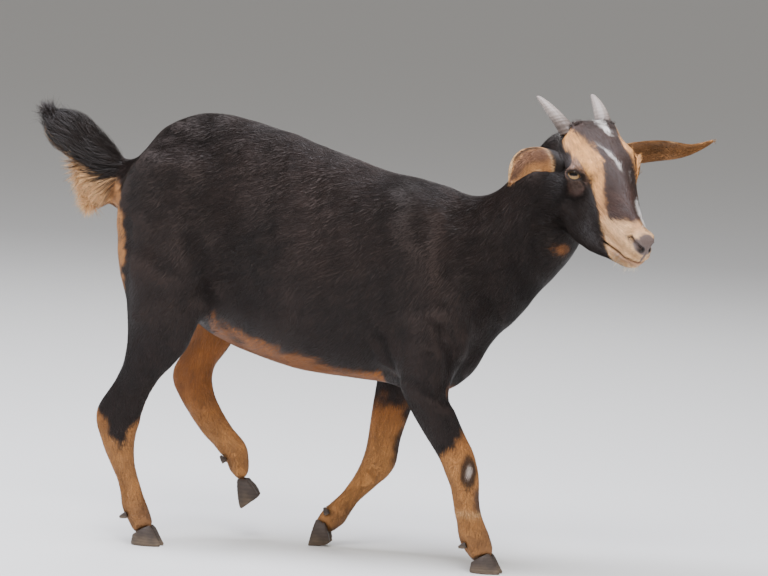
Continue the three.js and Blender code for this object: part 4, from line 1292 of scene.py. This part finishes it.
class Shader:
    """A Principled material and short calls to wire nodes into it."""

    def __init__(self, name, **values):
        self.mat = bpy.data.materials.new(name)
        self.mat.use_nodes = True
        self.tree = self.mat.node_tree
        self.shader = self.tree.nodes["Principled BSDF"]
        for key, value in values.items():
            self.shader.inputs[key.replace("_", " ")].default_value = value

    def node(self, kind, **values):
        node = self.tree.nodes.new(kind)
        for key, value in values.items():
            if hasattr(node, key):
                setattr(node, key, value)
            else:
                node.inputs[key.replace("_", " ")].default_value = value
        return node

    def link(self, a, b):
        self.tree.links.new(a, b)

    def attribute(self, name):
        return self.node("ShaderNodeAttribute", attribute_name=name)

    def noise(self, scale, detail=3.0, stretch=(1, 1, 1)):
        place = self.node("ShaderNodeTexCoord")
        mapping = self.node("ShaderNodeMapping")
        mapping.inputs["Scale"].default_value = stretch
        self.link(place.outputs["Object"], mapping.inputs["Vector"])
        noise = self.node("ShaderNodeTexNoise", Scale=scale, Detail=detail)
        self.link(mapping.outputs["Vector"], noise.inputs["Vector"])
        return noise.outputs["Fac"]

    def ranged(self, value, low, high):
        node = self.node("ShaderNodeMapRange")
        node.inputs["To Min"].default_value = low
        node.inputs["To Max"].default_value = high
        self.link(value, node.inputs["Value"])
        return node.outputs["Result"]

    def tinted(self, colour, factor):
        """A colour times a number."""
        node = self.node("ShaderNodeMix", data_type="RGBA", blend_type="MULTIPLY")
        node.inputs["Factor"].default_value = 1.0
        self.link(colour, node.inputs[6])
        self.link(factor, node.inputs[7])
        return node.outputs[2]

    def bump(self, height, strength, distance):
        node = self.node("ShaderNodeBump", Strength=strength, Distance=distance)
        self.link(height, node.inputs["Height"])
        self.link(node.outputs["Normal"], self.shader.inputs["Normal"])


def coat_shader(name, speckle, low, high, **values):
    """The piece's colour attribute, markings and painted shade, broken up by a fine grain."""
    m = Shader(name, **values)
    colour = m.attribute("coat").outputs["Color"]
    m.link(m.tinted(colour, m.ranged(m.noise(*speckle), low, high)), m.shader.inputs["Base Color"])
    return m


def coat_material():
    return coat_shader("coat_hair", (1400, 2), 0.82, 1.2, Roughness=0.46, Specular_IOR_Level=0.4).mat


def skin_material():
    """Matt under hair, moister and pebbled where bare."""
    m = coat_shader("coat_skin", (900, 4), 0.72, 1.25, Specular_IOR_Level=0.25)
    bare = m.attribute("bare").outputs["Fac"]
    m.link(m.ranged(bare, 0.72, 0.4), m.shader.inputs["Roughness"])
    cells = m.node("ShaderNodeTexVoronoi", Scale=620.0)
    m.link(m.node("ShaderNodeTexCoord").outputs["Object"], cells.inputs["Vector"])
    pick = m.node("ShaderNodeMix", data_type="FLOAT")
    m.link(m.ranged(bare, -1.4, 1.0), pick.inputs[0])
    m.link(m.noise(900, 4), pick.inputs[2])
    m.link(cells.outputs["Distance"], pick.inputs[3])
    m.bump(pick.outputs[0], 0.6, 0.0007)
    return m.mat


def horn_material():
    m = coat_shader("horn_keratin", (260, 5), 0.8, 1.2, Roughness=0.55, Specular_IOR_Level=0.45)
    m.bump(m.noise(700, 4), 0.35, 0.0005)
    return m.mat


def hoof_material():
    grain = (150, 6, (1, 1, 2.5))
    m = coat_shader("hoof_horn", grain, 0.62, 1.35, Roughness=0.62, Specular_IOR_Level=0.4)
    m.bump(m.noise(*grain), 0.4, 0.0008)
    return m.mat


def eye_material():
    return coat_shader("eye_wet", (900, 3), 0.86, 1.12, Roughness=0.3, Specular_IOR_Level=0.15, IOR=1.38,
                       Coat_Weight=0.4, Coat_Roughness=0.05).mat


# ---- eyes, horns and hooves ----------------------------------------------------------------------

def paint(ob, colour, mat):
    write_colours(ob.data, colour)
    ob.data.materials.clear()
    ob.data.materials.append(mat)
    shade_smooth(ob)


def ring_mesh(name, rings):
    """A closed tube through rings of points, capped by fans at both ends."""
    n = len(rings[0])
    points = [rings[0].mean(0)] + [p for r in rings for p in r] + [rings[-1].mean(0)]
    faces = []
    for i in range(len(rings) - 1):
        for j in range(n):
            a, b = 1 + i * n + j, 1 + i * n + (j + 1) % n
            faces.append((a, b, b + n, a + n))
    for j in range(n):
        faces.append((0, 1 + (j + 1) % n, 1 + j))
        last = 1 + (len(rings) - 1) * n
        faces.append((len(points) - 1, last + j, last + (j + 1) % n))
    ob = new_object(name, points, faces)
    with editing(ob) as bm:
        bmesh.ops.recalc_face_normals(bm, faces=bm.faces)
    return ob


def make_eye(hand, mat):
    side = -1 if hand == "right" else 1
    gaze = unit(np.array((0.40, 0.47, side * 0.785))) @ HEAD_AXES
    level = unit(np.cross((0, 0, 1), gaze))
    up = np.cross(gaze, level)
    around = np.linspace(0, 2 * math.pi, 72, endpoint=False)
    angle = np.radians(np.concatenate([np.linspace(1.0, 42, 42), np.linspace(45, 178, 30)]))
    rings = []
    for a in angle:
        bulge = 0.7 * np.clip(1 - (math.degrees(a) / 41) ** 2, 0, 1) ** 1.5
        r = (EYE_RADIUS - 0.15 + bulge - 2.6 * ease(50, 75, math.degrees(a))) * MM
        flat = round_axis(around, level, up)
        rings.append(EYE_CENTRES[hand] + r * (math.cos(a) * gaze + math.sin(a) * flat))
    ob = ring_mesh(f"eyeball_{hand}", rings)
    p = points_of(ob) - EYE_CENTRES[hand]
    h, v, d = (p @ level) / MM, (p @ up) / MM, (p @ gaze) / MM
    across = np.hypot(h, v)
    spoke = np.arctan2(v, h)
    rays = 0.5 + 0.28 * np.sin(spoke * 37 + 2 * np.sin(spoke * 5)) + 0.22 * np.sin(spoke * 61 + across)
    iris = mix(rgb(168, 136, 84), rgb(122, 90, 50), np.clip(rays, 0, 1))
    iris = mix(iris, rgb(70, 48, 32), ease(6.2, 7.8, across))
    iris = mix(iris, rgb(120, 96, 74), ease(3.6, 2.2, np.abs(v)) * ease(6.6, 5.4, np.abs(h)) * 0.8)
    # painted shadow of the upper lid over the top of the iris
    iris = iris * (1 - 0.92 * ease(-0.9, 1.6, v))[:, None]
    hole = (np.abs(h) / 5.3) ** 4 + (np.abs(v + 0.15 * np.sin(h * 1.9)) / 1.75) ** 2
    iris = mix(iris, rgb(2, 2, 3), ease(1.15, 0.8, hole))
    colour = mix(iris, rgb(118, 88, 74), ease(7.9, 8.5, across))
    colour = mix(colour, rgb(170, 140, 128), ease(9.0, 12.5, across))
    # the back of the globe, hidden in the socket, painted dark as painted shade
    colour[d < 6] = DARK
    paint(ob, colour, mat)
    hand_in(ob, "eye", f"eye_{hand}")


HORN = dict(s=-28, t=-24, l=27, length=62, fore=12.5, side=10, spread=20, lift=-2, bend=13)  # mm


def make_horn(hand, mat):
    """The short ringed cone of the CAD horn, smooth, with growth ridges and a worn tip."""
    side = -1 if hand == "right" else 1
    around = np.linspace(0, 2 * math.pi, 56, endpoint=False)
    rings, tint = [], []
    steps = 90
    for i in range(steps + 1):
        t = min((i / steps) ** 0.9, 0.999)
        taper = math.sqrt(1 - 0.97 * t ** 1.6) * (1 - 0.18 * t)
        s = HORN["s"] + 12 - (HORN["length"] + 12) * t * 0.86
        h = HORN["t"] - 8 + (HORN["lift"] + 12) * t - HORN["bend"] * t * t
        l = side * (HORN["l"] + HORN["spread"] * t * (1 - 0.25 * t))
        ridge = math.sin(t * 74 + 1.4 * math.sin(t * 19)) * (1 - t) ** 0.6
        swell = 1 + 0.022 * ridge + 0.012 * np.sin(around * 9 + t * 5) + 0.008 * np.sin(around * 17 - t * 9)
        fore, wide = HORN["fore"] * taper * swell, HORN["side"] * taper * swell
        ring = vectors(s + np.sin(around) * fore * 0.45, h + np.sin(around) * fore * 0.9,
                       l + np.cos(around) * wide)
        rings.append(from_head(ring))
        tone = mix(rgb(92, 80, 74), rgb(142, 131, 124), ease(0.1, 0.6, t))
        tone = mix(tone, rgb(120, 108, 106), ease(0.8, 1.0, t) * 0.6)
        tone = tone * (1 + 0.10 * ridge) * (1 + 0.05 * np.sin(around * 11 + t * 6))[:, None]
        tint.append(tone)
    ob = ring_mesh(f"horn_{hand}_ringed", rings)
    colour = np.vstack([tint[0][:1], *tint, tint[-1][:1]])
    paint(ob, np.clip(colour, 0, 1), mat)
    hand_in(ob, "horn", f"horn_{hand}")


def make_hoof(name, mat):
    """A claw or dewclaw, rounded from its CAD node, with growth lines round its wall."""
    points, tri = node_mesh(name)
    ob = new_object(name + "_worn", points, tri)
    with editing(ob) as bm:
        bmesh.ops.join_triangles(bm, faces=bm.faces, angle_face_threshold=0.5, angle_shape_threshold=1.2)
        edge = bm.edges.layers.float.new("crease_edge")
        for e in bm.edges:
            if len(e.link_faces) == 2 and e.calc_face_angle(0) > 0.7:
                e[edge] = 0.55 if name in CLAWS else 0.75
    ob.modifiers.new("fine", "SUBSURF").levels = 3
    applied(ob)
    p = points_of(ob)
    top = p[:, 2].max()
    high = (p[:, 2] - p[:, 2].min()) / (top - p[:, 2].min())
    line = np.sin(high * 46 + 2 * ripple(p, 0.02, 41))
    t, _ = triangles_of(ob)
    p = p + point_normals(p, t) * (0.12 * line * ease(0.05, 0.2, high) * MM)[:, None]
    p[:, 2] = np.maximum(p[:, 2], 0.0)
    set_points(ob, p)
    colour = mix(rgb(92, 78, 64), rgb(58, 48, 42), ease(0.1, 0.6, high + 0.1 * ripple(p, 0.008, 42)))
    paint(ob, colour * (1 + 0.12 * line)[:, None], mat)
    hand_in(ob, "hoof", name)


# ---- the goat ------------------------------------------------------------------------------------

def unwrap(ob):
    """UV map of the skin's own shape."""
    bpy.ops.object.select_all(action="DESELECT")
    ob.select_set(True)
    bpy.context.view_layer.objects.active = ob
    ob.data.uv_layers.new(name="OFBake")
    bpy.ops.object.mode_set(mode="EDIT")
    bpy.ops.mesh.select_all(action="SELECT")
    bpy.ops.uv.smart_project(angle_limit=math.radians(66), island_margin=0.002)
    bpy.ops.object.mode_set(mode="OBJECT")


def build_skin():
    tree, owner = flesh_tree(FLESH)
    skin = flesh_surface(tree)
    smooth_skin(skin, tree, owner)
    model_forms(skin)
    tree, owner = flesh_tree(FLESH + EARS)
    points = points_of(skin)
    label = owner[nearest(tree, points)[1]]
    refine(skin, (label == HEAD) | (leg_share(points, label) > 0.5))
    stl = to_head(points_of(skin))
    refine(skin, (eye_gap(stl) < 24) | ((stl[:, 0] > 116) & (np.abs(stl[:, 2]) < 40) & (stl[:, 1] > -90)))
    add_ears(skin)
    for side in (-1, 1):
        add_lids(skin, side)
    sculpt_head(skin)
    shade_smooth(skin)
    unwrap(skin)
    points = points_of(skin)
    label = owner[nearest(tree, points)[1]]
    return skin, label


skin_ob, label = build_skin()
skin = Skin(skin_ob, label)
paint(skin_ob, skin.colour, skin_material())
bare = skin_ob.data.attributes.new("bare", "FLOAT", "POINT")
bare.data.foreach_set("value", skin.bare)
hand_in(skin_ob, "coat", *FLESH, *EARS)

hair = coat_material()
for name, chosen, rings, share, nodes in (
        ("coat_trunk", skin.label == TRUNK, 1, 3.0, ["trunk"]),
        ("coat_neck", skin.label == NECK, 1, 3.2, ["neck"]),
        ("coat_head", skin.label == HEAD, 1, 2.6, ["head"]),
        ("coat_legs", on_leg(skin.label), 1, 2.4, LEGS),
        ("coat_ears", skin.label >= EAR, 1, 2.6, EARS),
        ("coat_tail", skin.label == TAIL, 3, 5.5, ["tail"])):
    pick, at = skin.scatter(*cover(chosen, share))
    grow(pick, at, rings, name, nodes, slot="ear" if name == "coat_ears" else "coat")

# whiskers of chin and lips
spots = between((138, -78, -12), (166, -62, 12), 120)
ways = vectors(0.5, -0.8, spots[:, 2] * 0.03)
sprigs("whiskers_chin", spots, ways, 9.0, 0.32, 32, colour=rgb(214, 200, 180))
# hair between and round the horns
spots = between((-26, -30, -20), (-4, -8, 20), 520)
sprigs("coat_poll", spots, (-0.5, 0.3, 0.8), 10.0, 0.6, 12, loose=0.9, free=0.0)
for side in (-1, 1):
    hand = "left" if side > 0 else "right"
    turn = RNG.uniform(0, 2 * math.pi, 260)
    reach = RNG.uniform(0.95, 1.35, 260)
    spots = vectors(-26 + 9 * reach * np.sin(turn), -24 + 13 * reach * np.sin(turn),
                    side * (27 + 11.5 * reach * np.cos(turn)))
    sprigs(f"coat_horn_{hand}", spots, (-0.8, 0.1, side * 0.5), 7.0, 0.55, 14, loose=0.4,
           colour=mix(BLACK, BROWN, 0.4))
    # lashes
    out, along, up = eye_axes(side)
    turn = np.linspace(0.35, 2.7, 46)
    edge, direction = lid_margin(turn)
    a = np.radians(edge + 1.5)[:, None]
    flat = round_axis(direction, along, up)
    rim = globe(side) + (np.cos(a) * out + np.sin(a) * flat) * (EYE_RADIUS + 1.4)
    sprigs(f"lashes_{hand}", rim, flat * 0.8 + along * 0.25, 4.2, 0.34, 38, rings=3, loose=0.12,
           colour=DARK)

eye_mat, horn_mat, hoof_mat = eye_material(), horn_material(), hoof_material()
for hand in ("right", "left"):
    make_eye(hand, eye_mat)
    make_horn(hand, horn_mat)
for name in HOOFS:
    make_hoof(name, hoof_mat)


# ---- stage ---------------------------------------------------------------------------------------

def stage():
    far = 40
    corners = [(-far, -far, 0), (far, -far, 0), (far, far, 0), (-far, far, 0)]
    floor = new_object("floor", corners, [(0, 1, 2, 3)])
    m = Shader("floor", Roughness=0.9)
    m.shader.inputs["Base Color"].default_value = (0.66, 0.66, 0.65, 1)
    floor.data.materials.append(m.mat)


def light(name, place, aim, size, power, colour=(1, 1, 1)):
    data = bpy.data.lights.new(name, "AREA")
    data.shape = "DISK"
    data.size = size
    data.energy = power
    data.color = colour
    turn = (Vector(aim) - Vector(place)).to_track_quat("-Z", "Y")
    placed(name, data, location=place, rotation_mode="QUATERNION", rotation_quaternion=turn)


def camera():
    azimuth, elevation, roll = (math.radians(a) for a in (12, 5, 3))
    back = Vector((math.sin(azimuth) * math.cos(elevation), -math.cos(azimuth) * math.cos(elevation),
                   math.sin(elevation)))
    data = bpy.data.cameras.new("camera")
    data.sensor_width = 36
    data.lens = 226.8
    data.clip_end = 100
    turn = Quaternion(back, roll) @ back.to_track_quat("Z", "Y")
    aim, far = Vector((0.0274, 0.0232, 0.3358)), 6.0
    bpy.context.scene.camera = placed("camera", data, location=aim + back * far,
                                      rotation_mode="QUATERNION", rotation_quaternion=turn)


stage()
camera()
light("key", (0.2, -2.7, 3.3), (0, 0, 0.35), 1.6, 125)
light("sky", (-0.9, -0.3, 3.3), (0, 0, 0.3), 2.2, 280, (0.88, 0.9, 1.0))
light("fill", (2.6, -2.4, 1.4), (0.1, 0, 0.4), 2.4, 34, (1.0, 0.9, 0.8))
light("rim", (-0.5, 3.0, 2.6), (0, 0, 0.4), 2.0, 45)
world = bpy.data.worlds.new("world")
bpy.context.scene.world = world
world.use_nodes = True
world.node_tree.nodes["Background"].inputs["Color"].default_value = (1.0, 0.97, 0.94, 1)
world.node_tree.nodes["Background"].inputs["Strength"].default_value = 0.42
